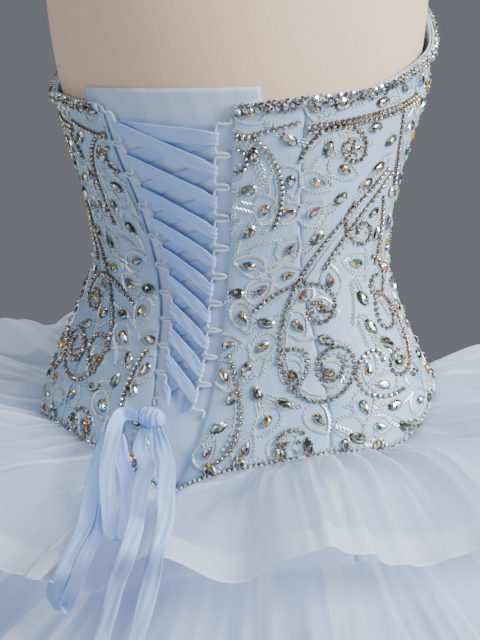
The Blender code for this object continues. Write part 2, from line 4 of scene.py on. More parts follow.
import bmesh
import bpy
import numpy as np
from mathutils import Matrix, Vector


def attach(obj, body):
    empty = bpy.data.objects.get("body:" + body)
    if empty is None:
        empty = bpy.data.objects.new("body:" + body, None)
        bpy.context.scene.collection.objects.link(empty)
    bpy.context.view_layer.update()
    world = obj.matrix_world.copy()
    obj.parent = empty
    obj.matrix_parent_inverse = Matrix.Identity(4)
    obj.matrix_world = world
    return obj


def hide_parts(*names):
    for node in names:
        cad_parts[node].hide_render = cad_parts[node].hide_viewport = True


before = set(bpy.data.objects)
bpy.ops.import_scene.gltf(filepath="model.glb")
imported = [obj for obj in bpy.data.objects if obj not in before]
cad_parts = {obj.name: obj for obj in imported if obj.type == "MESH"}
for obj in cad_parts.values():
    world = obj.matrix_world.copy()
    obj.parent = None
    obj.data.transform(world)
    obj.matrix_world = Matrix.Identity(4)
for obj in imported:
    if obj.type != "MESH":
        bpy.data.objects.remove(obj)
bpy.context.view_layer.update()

# Studio
# A pale floor under four soft lights: a broad one on the camera's right, a weak one low on its
# left, one overhead, and one beyond the gown that lights its rim. The camera looks down a little
# on the laced back from behind.
CAMERA_AZIMUTH = 208.0
CAMERA_DISTANCE = 1.5
CAMERA_HEIGHT = 1.34
AIM_HEIGHT = 1.027
AIM_SIDE = 0.004
FOCAL_PIXELS = 1740.0
IMAGE_HEIGHT = 640.0
SENSOR = 36.0
LAMP_AIM_HEIGHT = 0.95
FLOOR_RADIUS = 2.6
ROOM_COLOUR, ROOM_STRENGTH = (0.58, 0.61, 0.66, 1.0), 0.27

turn = math.radians(CAMERA_AZIMUTH)
camera_right = Vector((math.cos(turn), math.sin(turn), 0.0))
camera_back = Vector((math.sin(turn), -math.cos(turn), 0.0))


def look_from(item, place, aim):
    """Stands a camera or a lamp at one point, turned to another."""
    item.location = place
    item.rotation_mode = "QUATERNION"
    item.rotation_quaternion = (aim - place).to_track_quat("-Z", "Y")
    bpy.context.scene.collection.objects.link(item)


camera = bpy.data.objects.new("camera", bpy.data.cameras.new("camera"))
camera.data.sensor_width = SENSOR
camera.data.lens = FOCAL_PIXELS / IMAGE_HEIGHT * SENSOR
camera.data.clip_start = 0.05
camera.data.clip_end = 60.0
look_from(camera,
          camera_back * CAMERA_DISTANCE + camera_right * AIM_SIDE + Vector((0, 0, CAMERA_HEIGHT)),
          camera_right * AIM_SIDE + Vector((0, 0, AIM_HEIGHT)))
bpy.context.scene.camera = camera

# Lamps: name, way right, way back, height, size, watts, colour
LAMPS = (
    ("key", 2.0, 1.5, 2.3, 1.6, 158.0, (1.0, 0.985, 0.975)),
    ("fill", -2.3, 1.3, 1.5, 1.8, 17.0, (0.92, 0.95, 1.0)),
    ("overhead", 0.2, 0.1, 3.2, 1.6, 46.0, (0.98, 0.99, 1.0)),
    ("rim", 0.8, -2.4, 2.2, 1.5, 30.0, (1.0, 0.98, 0.96)),
)
for name, along, behind, height, size, watts, colour in LAMPS:
    lamp = bpy.data.lights.new(name, "AREA")
    lamp.shape = "DISK"
    lamp.size = size
    lamp.energy = watts
    lamp.color = colour
    look_from(bpy.data.objects.new(name, lamp),
              camera_right * along + camera_back * behind + Vector((0, 0, height)),
              Vector((0, 0, LAMP_AIM_HEIGHT)))
world = bpy.data.worlds.new("studio")
world.use_nodes = True
world.node_tree.nodes["Background"].inputs["Color"].default_value = ROOM_COLOUR
world.node_tree.nodes["Background"].inputs["Strength"].default_value = ROOM_STRENGTH
bpy.context.scene.world = world


class Link:
    """A socket of a material's tree that takes part in Python sums."""

    def __init__(self, tree, socket=None):
        self.tree = tree
        self.socket = socket

    def node(self, kind, settings=None, sockets=None, output=0):
        """Any node: its settings are set first, then its sockets are linked or given values."""
        made = self.tree.nodes.new(kind)
        for name, value in (settings or {}).items():
            if name == "stops":
                ramp = made.color_ramp.elements
                while len(ramp) < len(value):
                    ramp.new(1.0)
                for stop, (place, colour) in zip(ramp, value):
                    stop.position = place
                    stop.color = (*colour, 1.0)
            elif name == "blend":
                made.color_ramp.interpolation = value
            else:
                setattr(made, name, value)
        for name, value in (sockets or {}).items():
            if isinstance(value, Link):
                self.tree.links.new(value.socket, made.inputs[name])
            else:
                made.inputs[name].default_value = value
        return Link(self.tree, made.outputs[output])

    def sum(self, operation, *others):
        """A Math node on numbers and links."""
        sockets = {i: value for i, value in enumerate(others)}
        return self.node("ShaderNodeMath", {"operation": operation}, sockets)

    def __add__(self, other):
        return self.sum("ADD", self, other)

    def __radd__(self, other):
        return self.sum("ADD", other, self)

    def __sub__(self, other):
        return self.sum("SUBTRACT", self, other)

    def __rsub__(self, other):
        return self.sum("SUBTRACT", other, self)

    def __mul__(self, other):
        return self.sum("MULTIPLY", self, other)

    def __rmul__(self, other):
        return self.sum("MULTIPLY", other, self)

    def sine(self):
        """The sine of an angle in radians."""
        return self.sum("SINE", self)

    def fraction(self):
        """What is left of a number over the whole number below it."""
        return self.sum("FRACT", self)

    def over(self, limit):
        """1 where the number is over a limit, and 0 elsewhere."""
        return self.sum("GREATER_THAN", self, limit)

    def noise(self, where, scale, detail=2.0, stretch=None):
        """Soft noise between 0 and 1; where is a place in metres."""
        if stretch:
            where = self.node("ShaderNodeMapping", {}, {"Vector": where, "Scale": stretch})
        return self.node("ShaderNodeTexNoise", {}, {"Vector": where, "Scale": scale, "Detail": detail})

    def tint(self, share, low, high):
        """A colour between two colours."""
        made = self.tree.nodes.new("ShaderNodeMix")
        made.data_type = "RGBA"
        for socket, value in ((made.inputs[0], share), (made.inputs[6], low), (made.inputs[7], high)):
            if isinstance(value, Link):
                self.tree.links.new(value.socket, socket)
            elif socket.type == "RGBA":
                socket.default_value = (*value, 1.0)
            else:
                socket.default_value = value
        return Link(self.tree, made.outputs[2])

    def place(self):
        """Where a point lies, in metres."""
        return self.node("ShaderNodeTexCoord", output="Object")

    def flat_place(self):
        """The piece's own UV map: metres across and along the cloth."""
        return self.node("ShaderNodeUVMap", {"uv_map": "cut"})

    def parts(self, vector):
        """The first two parts of a vector."""
        split = self.node("ShaderNodeSeparateXYZ", {}, {0: vector})
        return split, Link(self.tree, split.socket.node.outputs[1])

    def mark(self, name):
        """A number that the mesh carries."""
        return self.node("ShaderNodeAttribute", {"attribute_name": name}, output="Fac")

    def bump(self, height, depth, strength=1.0):
        """Normals from a height between 0 and 1 that stands for a depth in metres."""
        return self.node("ShaderNodeBump", {}, {"Height": height, "Distance": depth, "Strength": strength})


def new_material(name):
    """A material with an empty tree but for its shader and output."""
    material = bpy.data.materials.new(name)
    material.use_nodes = True
    return material, Link(material.node_tree), material.node_tree.nodes["Principled BSDF"]


def set_shader(look, shader, **values):
    """Gives a shader's sockets their constants or links; a name's underscores stand for spaces."""
    for name, value in values.items():
        socket = shader.inputs[name.replace("_", " ")]
        if isinstance(value, Link):
            look.tree.links.new(value.socket, socket)
        elif socket.type == "RGBA" and len(value) == 3:
            socket.default_value = (*value, 1.0)
        else:
            socket.default_value = value


def plain_floor():
    """The pale floor, which isn't part of the gown."""
    shape = bmesh.new()
    bmesh.ops.create_circle(shape, cap_ends=True, segments=64, radius=FLOOR_RADIUS)
    mesh = bpy.data.meshes.new("floor")
    shape.to_mesh(mesh)
    shape.free()
    material, look, shader = new_material("floor_paint")
    set_shader(look, shader, Roughness=0.6,
               Base_Color=look.tint(look.noise(look.place(), 3.0), (0.60, 0.60, 0.60), (0.66, 0.66, 0.67)))
    mesh.materials.append(material)
    floor = bpy.data.objects.new("floor", mesh)
    bpy.context.scene.collection.objects.link(floor)


plain_floor()

# Stand
# A steel pole in a heavy round base, both in satin grey enamel, and a turned cap that closes
# the form's neck. The frame's own solids show, so only their finish is set here.
MM = 0.001


def enamel():
    """Grey enamel with a fine orange peel and slightly worn patches."""
    material, look, shader = new_material("grey_enamel")
    where = look.place()
    grain = look.noise(where, 900.0, 3.0)
    worn = look.noise(where, 24.0, 4.0)
    set_shader(look, shader, Metallic=0.55,
               Base_Color=look.tint(worn, (0.20, 0.20, 0.21), (0.27, 0.27, 0.28)),
               Roughness=0.32 + grain * 0.12, Normal=look.bump(grain, 0.05 * MM, 0.5))
    return material


stand_finish = enamel()
for name in ("form_neck_cap", "stand_pole", "stand_base"):
    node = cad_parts[name]
    node.data.materials.clear()
    node.data.materials.append(stand_finish)

# Dress form
# A limbless padded torso covered with beige knitted jersey, smooth under the gown. Every other
# piece is laid out on its surface, by an angle round the body, a height over the waist and a level.
WAIST_Z = 1.080
FORM_LEVEL = -2.4 * MM
FORM_BUST_SHARE = 0.7
FORM_LOW, FORM_HIGH = -0.250, 0.480
# The form's rounded lower edge: height over its lowest ring, how far it is drawn in
FORM_EDGE = ((0.000, -0.010), (0.003, -0.004), (0.008, -0.001))
FORM_STRAIGHT = 0.016
# Body rings: height over the waist, half width, depth to the back, depth to the front
BODY = (
    (-0.270, 0.172, 0.106, 0.118),
    (-0.220, 0.186, 0.118, 0.130),
    (-0.180, 0.190, 0.118, 0.135),
    (-0.150, 0.188, 0.112, 0.135),
    (-0.100, 0.176, 0.095, 0.131),
    (-0.050, 0.151, 0.080, 0.120),
    (0.000, 0.132, 0.078, 0.112),
    (0.050, 0.135, 0.090, 0.109),
    (0.100, 0.147, 0.112, 0.109),
    (0.145, 0.159, 0.126, 0.113),
    (0.190, 0.168, 0.134, 0.112),
    (0.240, 0.174, 0.136, 0.106),
    (0.290, 0.177, 0.130, 0.098),
    (0.330, 0.181, 0.118, 0.090),
    (0.358, 0.176, 0.102, 0.080),
    (0.380, 0.154, 0.088, 0.072),
    (0.400, 0.118, 0.076, 0.066),
    (0.418, 0.086, 0.068, 0.061),
    (0.438, 0.066, 0.062, 0.057),
    (0.480, 0.058, 0.057, 0.055),
)
# The bust: angle and height of its fullest point, how far it stands out, and its spread
BUST_ANGLE, BUST_HEIGHT = 143.0, 0.150
BUST_RISE = 0.030
BUST_SPREAD_ANGLE, BUST_SPREAD_HEIGHT = 21.0, 0.058


def read(table, key, column=1):
    """A smooth curve through one column of a table, read at many values of its first column."""
    keys = np.array([row[0] for row in table])
    values = np.array([row[column] for row in table])
    last = len(table) - 1
    low, high = np.maximum(np.arange(last + 1) - 1, 0), np.minimum(np.arange(last + 1) + 1, last)
    slopes = (values[high] - values[low]) / (keys[high] - keys[low])
    key = np.clip(np.asarray(key, float), keys[0], keys[-1])
    i = np.clip(np.searchsorted(keys, key, side="right") - 1, 0, last - 1)
    width = keys[i + 1] - keys[i]
    t = (key - keys[i]) / width
    return ((2 * t ** 3 - 3 * t ** 2 + 1) * values[i] + (t ** 3 - 2 * t ** 2 + t) * slopes[i] * width
            + (3 * t ** 2 - 2 * t ** 3) * values[i + 1] + (t ** 3 - t ** 2) * slopes[i + 1] * width)


def unit(vectors):
    """Vectors brought to length 1."""
    return vectors / np.maximum(np.linalg.norm(vectors, axis=-1, keepdims=True), 1e-12)


def stack(*parts):
    """Points or map places from their parts, each a grid or a number."""
    return np.stack(np.broadcast_arrays(*parts), axis=-1).astype(float)


def wrap(angle):
    """An angle brought to between -180 and 180 degrees."""
    return (np.asarray(angle, float) + 180.0) % 360.0 - 180.0


def ring(angle, height):
    """The half width and the depth of the body ring at each place."""
    back = np.cos(np.radians(angle)) > 0
    return read(BODY, height, 1), np.where(back, read(BODY, height, 2), read(BODY, height, 3))


def outward(angle, height):
    """The level direction that points straight out of the body."""
    half_width, depth = ring(angle, height)
    turn = np.radians(angle)
    return unit(stack(-depth * np.sin(turn), half_width * np.cos(turn), 0.0 * turn))


def body(angle, height, level, bust_share=1.0):
    """Points on the body surface, moved outwards by a level."""
    angle, height, level = np.broadcast_arrays(*(np.asarray(a, float) for a in (angle, height, level)))
    half_width, depth = ring(angle, height)
    turn = np.radians(angle)
    across = (np.abs(wrap(angle)) - BUST_ANGLE) / BUST_SPREAD_ANGLE
    along = (height - BUST_HEIGHT) / BUST_SPREAD_HEIGHT
    rise = level + bust_share * BUST_RISE * np.exp(-across ** 2 - along ** 2)
    flat = stack(-half_width * np.sin(turn), depth * np.cos(turn), WAIST_Z + height)
    return flat + outward(angle, height) * rise[..., None]


def grid_faces(rows, columns, first=0, flip=False, closed=False):
    """Quads between the points of a grid; a closed one joins its last column to its first."""
    i, j = np.meshgrid(np.arange(rows - 1), np.arange(columns if closed else columns - 1), indexing="ij")
    after = (j + 1) % columns
    quads = np.stack([i * columns + j, i * columns + after,
                      (i + 1) * columns + after, (i + 1) * columns + j], axis=-1).reshape(-1, 4)
    return (quads[:, ::-1] if flip else quads) + first


def mesh_object(name, points, faces, material, uv=None):
    """A named mesh with smooth faces, one material and, for cloth, its map in metres."""
    mesh = bpy.data.meshes.new(name)
    mesh.from_pydata(np.asarray(points).reshape(-1, 3).tolist(), [], [list(map(int, f)) for f in faces])
    if uv is not None:
        corners = np.zeros(len(mesh.loops), np.int32)
        mesh.loops.foreach_get("vertex_index", corners)
        layer = mesh.uv_layers.new(name="cut")
        layer.data.foreach_set("uv", np.asarray(uv, float).reshape(-1, 2)[corners].ravel())
    mesh.materials.append(material)
    mesh.shade_smooth()
    mesh.update()
    item = bpy.data.objects.new(name, mesh)
    bpy.context.scene.collection.objects.link(item)
    return item


def cut_map(points):
    """Metres across and along a cloth grid, measured on the cloth itself."""
    across = np.zeros(points.shape[:2])
    along = np.zeros(points.shape[:2])
    across[:, 1:] = np.cumsum(np.linalg.norm(np.diff(points, axis=1), axis=-1), axis=1)
    along[1:] = np.cumsum(np.linalg.norm(np.diff(points, axis=0), axis=-1), axis=0)
    across -= across[:, [points.shape[1] // 2]]
    return stack(across, along)


def cloth_wall(name, outer, inner, material):
    """A closed thin wall between two grids of points, with the cloth's own map."""
    rows, columns = outer.shape[:2]
    count = rows * columns
    rim = [(0, j) for j in range(columns)] + [(i, columns - 1) for i in range(1, rows)]
    rim += [(rows - 1, j) for j in range(columns - 2, -1, -1)] + [(i, 0) for i in range(rows - 2, 0, -1)]
    edge = np.array([i * columns + j for i, j in rim])
    after = np.roll(edge, -1)
    faces = np.concatenate([grid_faces(rows, columns), grid_faces(rows, columns, count, True),
                            np.stack([edge, edge + count, after + count, after], axis=-1)])
    uv = cut_map(outer)
    item = mesh_object(name, np.concatenate([outer.reshape(-1, 3), inner.reshape(-1, 3)]), faces,
                       material, np.concatenate([uv.reshape(-1, 2)] * 2))
    face_out(item)
    return item


def face_out(item):
    """Turns a closed mesh's faces outwards."""
    shape = bmesh.new()
    shape.from_mesh(item.data)
    bmesh.ops.recalc_face_normals(shape, faces=shape.faces)
    shape.to_mesh(item.data)
    shape.free()


def wear(item, slot, *nodes):
    """The piece moves with the gown and stands for its frame nodes, which it hides; the slot is not used."""
    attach(item, "root")
    if nodes:
        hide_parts(*nodes)


def jersey():
    """Fine knitted jersey: beige, matt, with a stipple of loops about a millimetre across."""
    material, look, shader = new_material("beige_jersey")
    where = look.place()
    loops = look.node("ShaderNodeTexVoronoi", {}, {"Vector": where, "Scale": 1150.0})
    soft = look.noise(where, 7.0, 3.0)
    fleck = look.noise(where, 620.0, 2.0)
    shade = look.tint(fleck, (0.78, 0.535, 0.365), (0.96, 0.71, 0.51))
    set_shader(look, shader, Roughness=0.88, Sheen_Weight=0.25, Sheen_Roughness=0.5,
               Specular_IOR_Level=0.25,
               Base_Color=look.tint(soft * 0.35, shade, (0.97, 0.745, 0.545)),
               Normal=look.bump(loops + fleck * 0.8, 0.35 * MM, 0.55))
    return material


def make_torso():
    """The padded torso as one closed skin from its rounded lower edge to the neck."""
    edge = np.array(FORM_EDGE)
    heights = np.concatenate([FORM_LOW + edge[:, 0], np.linspace(FORM_LOW + FORM_STRAIGHT, FORM_HIGH, 110)])
    levels = np.full(len(heights), FORM_LEVEL)
    levels[:len(edge)] += edge[:, 1]
    angles = np.linspace(0.0, 360.0, 97)[:-1]
    grid = body(angles[None, :], heights[:, None], levels[:, None], FORM_BUST_SHARE)
    ends = np.array([[0.0, 0.0, WAIST_Z + FORM_LOW], [0.0, 0.0, WAIST_Z + FORM_HIGH]])
    rows, columns = grid.shape[:2]
    faces = grid_faces(rows, columns, closed=True).tolist()
    low, high = rows * columns, rows * columns + 1
    last = (rows - 1) * columns
    faces += [[low, (k + 1) % columns, k] for k in range(columns)]
    faces += [[high, last + k, last + (k + 1) % columns] for k in range(columns)]
    torso = mesh_object("dress_form_torso", np.concatenate([grid.reshape(-1, 3), ends]), faces, jersey())
    face_out(torso)
    wear(torso, "form_jersey", "form_torso")


make_torso()

# Bodice
# Seven panels of pale blue satin under a sheer net overlay, seamed at the princess lines and the
# sides. Each seam's edges turn in a little, and the back edges stay apart for the lacing.

# Levels of a panel's inner and outer face over the form's surface
PANEL_IN, PANEL_OUT = 1.8 * MM, 3.8 * MM
# The gap at a seam, and the body's mean radius, which turns it into degrees
SEAM = 0.3 * MM
SEAM_REACH = 0.125
BACK_PRINCESS, SIDE_SEAM, FRONT_PRINCESS = 44.0, 93.0, 143.0
# How far the top and bottom edges lie higher on one side than in the middle
EDGE_TILT = 0.006
# Bodice edges: angle from the centre back, height over the waist
TOP_EDGE = (
    (0.0, 0.145), (24.0, 0.146), (47.0, 0.151), (66.0, 0.155), (93.0, 0.176), (112.0, 0.191),
    (130.0, 0.217), (147.0, 0.234), (163.0, 0.214), (180.0, 0.178),
)
BOTTOM_EDGE = (
    (0.0, -0.178), (12.0, -0.158), (25.0, -0.148), (45.0, -0.139), (66.0, -0.138),
    (90.0, -0.114), (112.0, -0.100), (135.0, -0.112), (158.0, -0.146), (180.0, -0.176),
)
# The laced gap: height over the waist, distance of each back edge from the centre back
GAP_EDGE = (
    (-0.180, 0.0060), (-0.165, 0.0120), (-0.125, 0.0235), (-0.070, 0.0295), (-0.020, 0.0310),
    (0.060, 0.0440), (0.100, 0.0530), (0.145, 0.0620),
)
SIDES = ((1, "right"), (-1, "left"))
# How far a panel's edge turns in at a seam, and over what width
SEAM_DIP, SEAM_WIDTH = 1.1 * MM, 0.045
TOP_DIP_WIDTH = 0.012
# Cloth allowed over the area that a grid shows
CUT_SPARE = 1.05


def angle_of(distance, height):
    """The angle of a place that lies a sideways distance from the centre back."""
    return np.degrees(np.arcsin(distance / read(BODY, height, 1)))


def bottom_edge(angle):
    """The height of the bodice's lower edge over the waist."""
    return read(BOTTOM_EDGE, np.abs(wrap(angle))) + EDGE_TILT * np.sin(np.radians(angle))


def top_edge(angle):
    """The height of the bodice's top edge over the waist."""
    return read(TOP_EDGE, np.abs(wrap(angle))) + EDGE_TILT * np.sin(np.radians(angle))


def cut_size(points):
    """A cloth grid's flat cut: its width, its length and its area, measured on the cloth."""
    width = np.linalg.norm(np.diff(points, axis=1), axis=-1).sum(axis=1).max()
    length = np.linalg.norm(np.diff(points, axis=0), axis=-1).sum(axis=0).max()
    across = points[1:, 1:] - points[:-1, :-1]
    along = points[1:, :-1] - points[:-1, 1:]
    area = np.linalg.norm(np.cross(across, along), axis=-1).sum() / 2
    return float(width), float(length), float(min(area * CUT_SPARE, width * length))


def declare(item, points, held, *rests_on):
    """Works out a sheet of cloth's flat size from its own grid; nothing more is done with it."""
    width, length, area = cut_size(points)


def satin_under_net():
    """Pale blue satin under net: soft mottle, faint tonal embroidery and a fine woven grain."""
    material, look, shader = new_material("bodice_satin_and_net")
    where = look.place()
    u, v = look.parts(look.flat_place())
    mottle = look.noise(where, 34.0, 4.0)
    drift = look.noise(where, 9.0, 2.0)
    net = ((u + v) * 2600.0).sine() * ((u - v) * 2600.0).sine()
    threads = look.noise(look.flat_place(), 1.0, 2.0, stretch=(2200.0, 500.0, 1.0))
    creases = look.noise(look.flat_place(), 1.0, 3.0, stretch=(95.0, 26.0, 1.0))
    base = look.tint(mottle, (0.32, 0.50, 0.74), (0.43, 0.615, 0.85))
    set_shader(look, shader, Roughness=0.40 + mottle * 0.16, Sheen_Weight=0.15, Sheen_Roughness=0.4,
               Specular_IOR_Level=0.45,
               Base_Color=look.tint(drift * 0.4 + net * 0.04, base, (0.50, 0.68, 0.89)),
               Normal=look.bump(creases * 3.0 + threads * 0.25 + net * 0.12, 0.6 * MM, 0.55))
    return material


bodice_finish = satin_under_net()


def panel(name, low_side, high_side, columns):
    """A bodice panel between two sides, each an angle that may change with the height.

    The height of a place depends on its angle too, so both are worked out in a few rounds.
    """
    v, u = np.meshgrid(np.linspace(0.0, 1.0, 72), np.linspace(0.0, 1.0, columns), indexing="ij")
    height = np.zeros_like(u)
    for _ in range(12):
        low, high = low_side(height), high_side(height)
        angle = low + (high - low) * u
        height = bottom_edge(angle) + (top_edge(angle) - bottom_edge(angle)) * v
    edge = np.minimum(u, 1.0 - u)
    dip = SEAM_DIP * np.exp(-(edge / SEAM_WIDTH) ** 2)
    dip += 0.5 * SEAM_DIP * np.exp(-((1.0 - v) / TOP_DIP_WIDTH) ** 2)
    outer = body(angle, height, PANEL_OUT - dip)
    item = cloth_wall(f"{name}_cloth", outer, body(angle, height, PANEL_IN), bodice_finish)
    wear(item, "bodice_satin", name)
    declare(item, outer, "stretched", "form_torso")


def seam(angle, side):
    """A panel's side at a seam, half the gap away from the seam's angle."""
    half_gap = math.degrees(SEAM / 2 / SEAM_REACH)
    return lambda height: angle + side * half_gap + 0.0 * height


def gap(side):
    """A back panel's side along the laced gap."""
    return lambda height: side * angle_of(read(GAP_EDGE, height), height)


for side, word in SIDES:
    panel(f"bodice_back_{word}", gap(side), seam(side * BACK_PRINCESS, -side), 30)
    panel(f"bodice_side_back_{word}", seam(side * BACK_PRINCESS, side), seam(side * SIDE_SEAM, -side), 34)
    panel(f"bodice_side_front_{word}", seam(side * SIDE_SEAM, side), seam(side * FRONT_PRINCESS, -side), 36)
panel("bodice_front_centre", seam(FRONT_PRINCESS, 1), seam(360 - FRONT_PRINCESS, -1), 56)

# Bead and stone layout
# The gown's embroidery is laid out flat first: a place on the bodice is a distance round the body
# from the centre back and a height over the waist, and what is drawn on one half is mirrored.
ARC_ANGLES = np.linspace(0.0, 180.0, 721)
ARC_HEIGHTS = np.linspace(-0.22, 0.27, 99)
arc_places = body(ARC_ANGLES[None, :], ARC_HEIGHTS[:, None], PANEL_OUT)
arc_steps = np.linalg.norm(np.diff(arc_places, axis=1), axis=-1)
ARC_LENGTHS = np.concatenate([np.zeros((len(ARC_HEIGHTS), 1)), np.cumsum(arc_steps, axis=1)], axis=1)


def arc_row(height):
    """The row of ARC_LENGTHS that a height falls on, with its fraction."""
    return np.interp(height, ARC_HEIGHTS, np.arange(len(ARC_HEIGHTS)))


def across_at(angle, row):
    """The distance round the body from the centre back to an angle, in one row of ARC_LENGTHS."""
    return float(np.interp(angle, ARC_ANGLES, ARC_LENGTHS[row]))


def angle_at(across, height):
    """The angle of a place that lies a distance round the body from the centre back."""
    row = np.clip(arc_row(height), 0, len(ARC_HEIGHTS) - 1.001)
    low = row.astype(int)
    share = (row - low)[:, None]
    lengths = ARC_LENGTHS[low] * (1 - share) + ARC_LENGTHS[low + 1] * share
    found = [np.interp(abs(a), line, ARC_ANGLES) for a, line in zip(across, lengths)]
    return np.sign(across) * np.array(found)


def half_girth(height):
    """The distance from the centre back round to the centre front."""
    return np.interp(height, ARC_HEIGHTS, ARC_LENGTHS[:, -1])


def on_bodice(across, height, heading, level):
    """Places on the bodice with the directions out of it and along a heading in degrees."""
    across, height, heading = (np.atleast_1d(np.asarray(a, float)) for a in (across, height, heading))
    angle = angle_at(across, height)
    height = height + EDGE_TILT * np.sin(np.radians(angle))
    place = body(angle, height, level)
    round_way = unit(body(angle + 0.1, height, level) - body(angle - 0.1, height, level))
    up_way = unit(body(angle, height + 0.0005, level) - body(angle, height - 0.0005, level))
    out = unit(np.cross(up_way, round_way))
    out *= np.sign((out * outward(angle, height)).sum(axis=1, keepdims=True))
    turn = np.radians(heading)[:, None]
    return place, out, unit(round_way * np.cos(turn) + up_way * np.sin(turn))


def inside(across, height, margin):
    """Whether places lie on the cloth, a margin in from its top, bottom and back edges."""
    angle = angle_at(across, height)
    low = read(BOTTOM_EDGE, np.abs(angle)) + margin
    high = read(TOP_EDGE, np.abs(angle)) - margin
    back = np.abs(read(BODY, height, 1) * np.sin(np.radians(angle)))
    clear = (np.abs(angle) > 90.0) | (back > read(GAP_EDGE, height) + margin)
    return (height > low) & (height < high) & clear


# Scrolls of one half, in millimetres: where each starts, its heading, its length, how much it
# bends at its start and end in degrees a millimetre, how late the bend grows, and its rows
BACK_SCROLLS = (
    (60, 117, 12, 54, 0.0, 0.1, 1.0, 1),
    (79, 42, 60, 176, 0.5, 6.2, 1.7, 1),
    (120, 123, 6, 120, 0.02, 0.12, 1.0, 2),
    (110, 98, 60, 130, -0.7, -8.0, 1.6, 1),
    (190, 84, 210, 384, 0.18, 6.4, 3.0, 1),
    (196, 80, 212, 110, 0.16, 0.3, 1.0, 1),
    (60, -28, 44, 132, -0.5, -8.4, 1.9, 1),
    (83, -70, 88, 64, -5.2, -2.6, 1.0, 1),
    (148, 58, 220, 86, 1.8, 9.5, 1.4, 1),
    (182, 60, 268, 58, -0.4, -0.5, 1.0, 1),
    (164, 10, -12, 76, -2.2, -9.0, 1.5, 1),
    (166, -24, -96, 52, 1.4, 9.5, 1.5, 1),
    (170, -20, -22, 66, -0.7, -1.4, 1.0, 1),
    (40, -66, -60, 92, -0.2, -2.2, 1.6, 1),
    (112, -124, 150, 64, 3.6, 7.0, 1.0, 1),
    (214, 132, 262, 120, -0.1, 0.5, 1.0, 1),
    (204, -46, 300, 80, -1.2, -8.0, 1.5, 1),
    (196, -96, 200, 92, -1.0, -6.5, 1.6, 1),
)
FRONT_SCROLLS = (
    (12, 150, 78, 110, -0.5, -6.5, 2.0, 1),
    (40, 196, 18, 96, -0.4, -0.2, 1.0, 2),
    (70, 168, 200, 84, 1.6, 8.5, 1.5, 1),
    (14, 20, 84, 150, -0.3, -7.0, 2.2, 1),
    (150, 120, 222, 340, 0.2, 6.4, 2.8, 1),
    (156, 118, 224, 96, 0.2, 0.3, 1.0, 1),
    (20, -20, -70, 120, 0.6, 7.5, 1.8, 1),
    (92, -20, 250, 96, -0.6, -8.0, 1.6, 1),
    (120, 40, 260, 84, 1.2, 9.0, 1.5, 1),
    (24, -110, -40, 96, 1.2, 7.5, 1.7, 1),
    (128, 160, 255, 92, -1.0, -8.0, 1.7, 1),
    (10, 92, 40, 96, -1.0, -8.5, 1.8, 1),
)
# The points of a flat line are this many millimetres apart
STEP = 0.5


def scroll_line(row):
    """A scroll's places and headings, half a millimetre apart; a volute by its growing bend."""
    x, h, heading, length, first, last, growth = row[:7]
    s = np.arange(0.0, length, STEP)
    bend = first + (last - first) * (s / length) ** growth
    headings = heading + np.concatenate([[0.0], np.cumsum(bend[:-1]) * STEP])
    turn = np.radians(headings)
    xs = x + np.concatenate([[0.0], np.cumsum(np.cos(turn[:-1])) * STEP])
    hs = h + np.concatenate([[0.0], np.cumsum(np.sin(turn[:-1])) * STEP])
    return xs * MM, hs * MM, headings, np.sign(first + last)


def long_and_single(row):
    """Whether a scroll has one row of chain over 60 mm long, which beads and small stones follow."""
    return row[7] == 1 and row[3] > 60


def points_apart(pitch):
    """How many points of a flat line make up a pitch."""
    return max(int(round(pitch / (STEP * MM))), 1)


def placed(line, front):
    """A line of one half, as it is for the back or measured from the centre front."""
    xs, hs, headings, hand = line
    if not front:
        return xs, hs, headings, hand
    return half_girth(hs) - xs, hs, 180.0 - headings, -hand


def beside(line, distance):
    """A line that runs beside another, on its inner side."""
    xs, hs, headings, hand = line
    turn = np.radians(headings + 90.0 * hand)
    return xs + distance * np.cos(turn), hs + distance * np.sin(turn), headings, hand


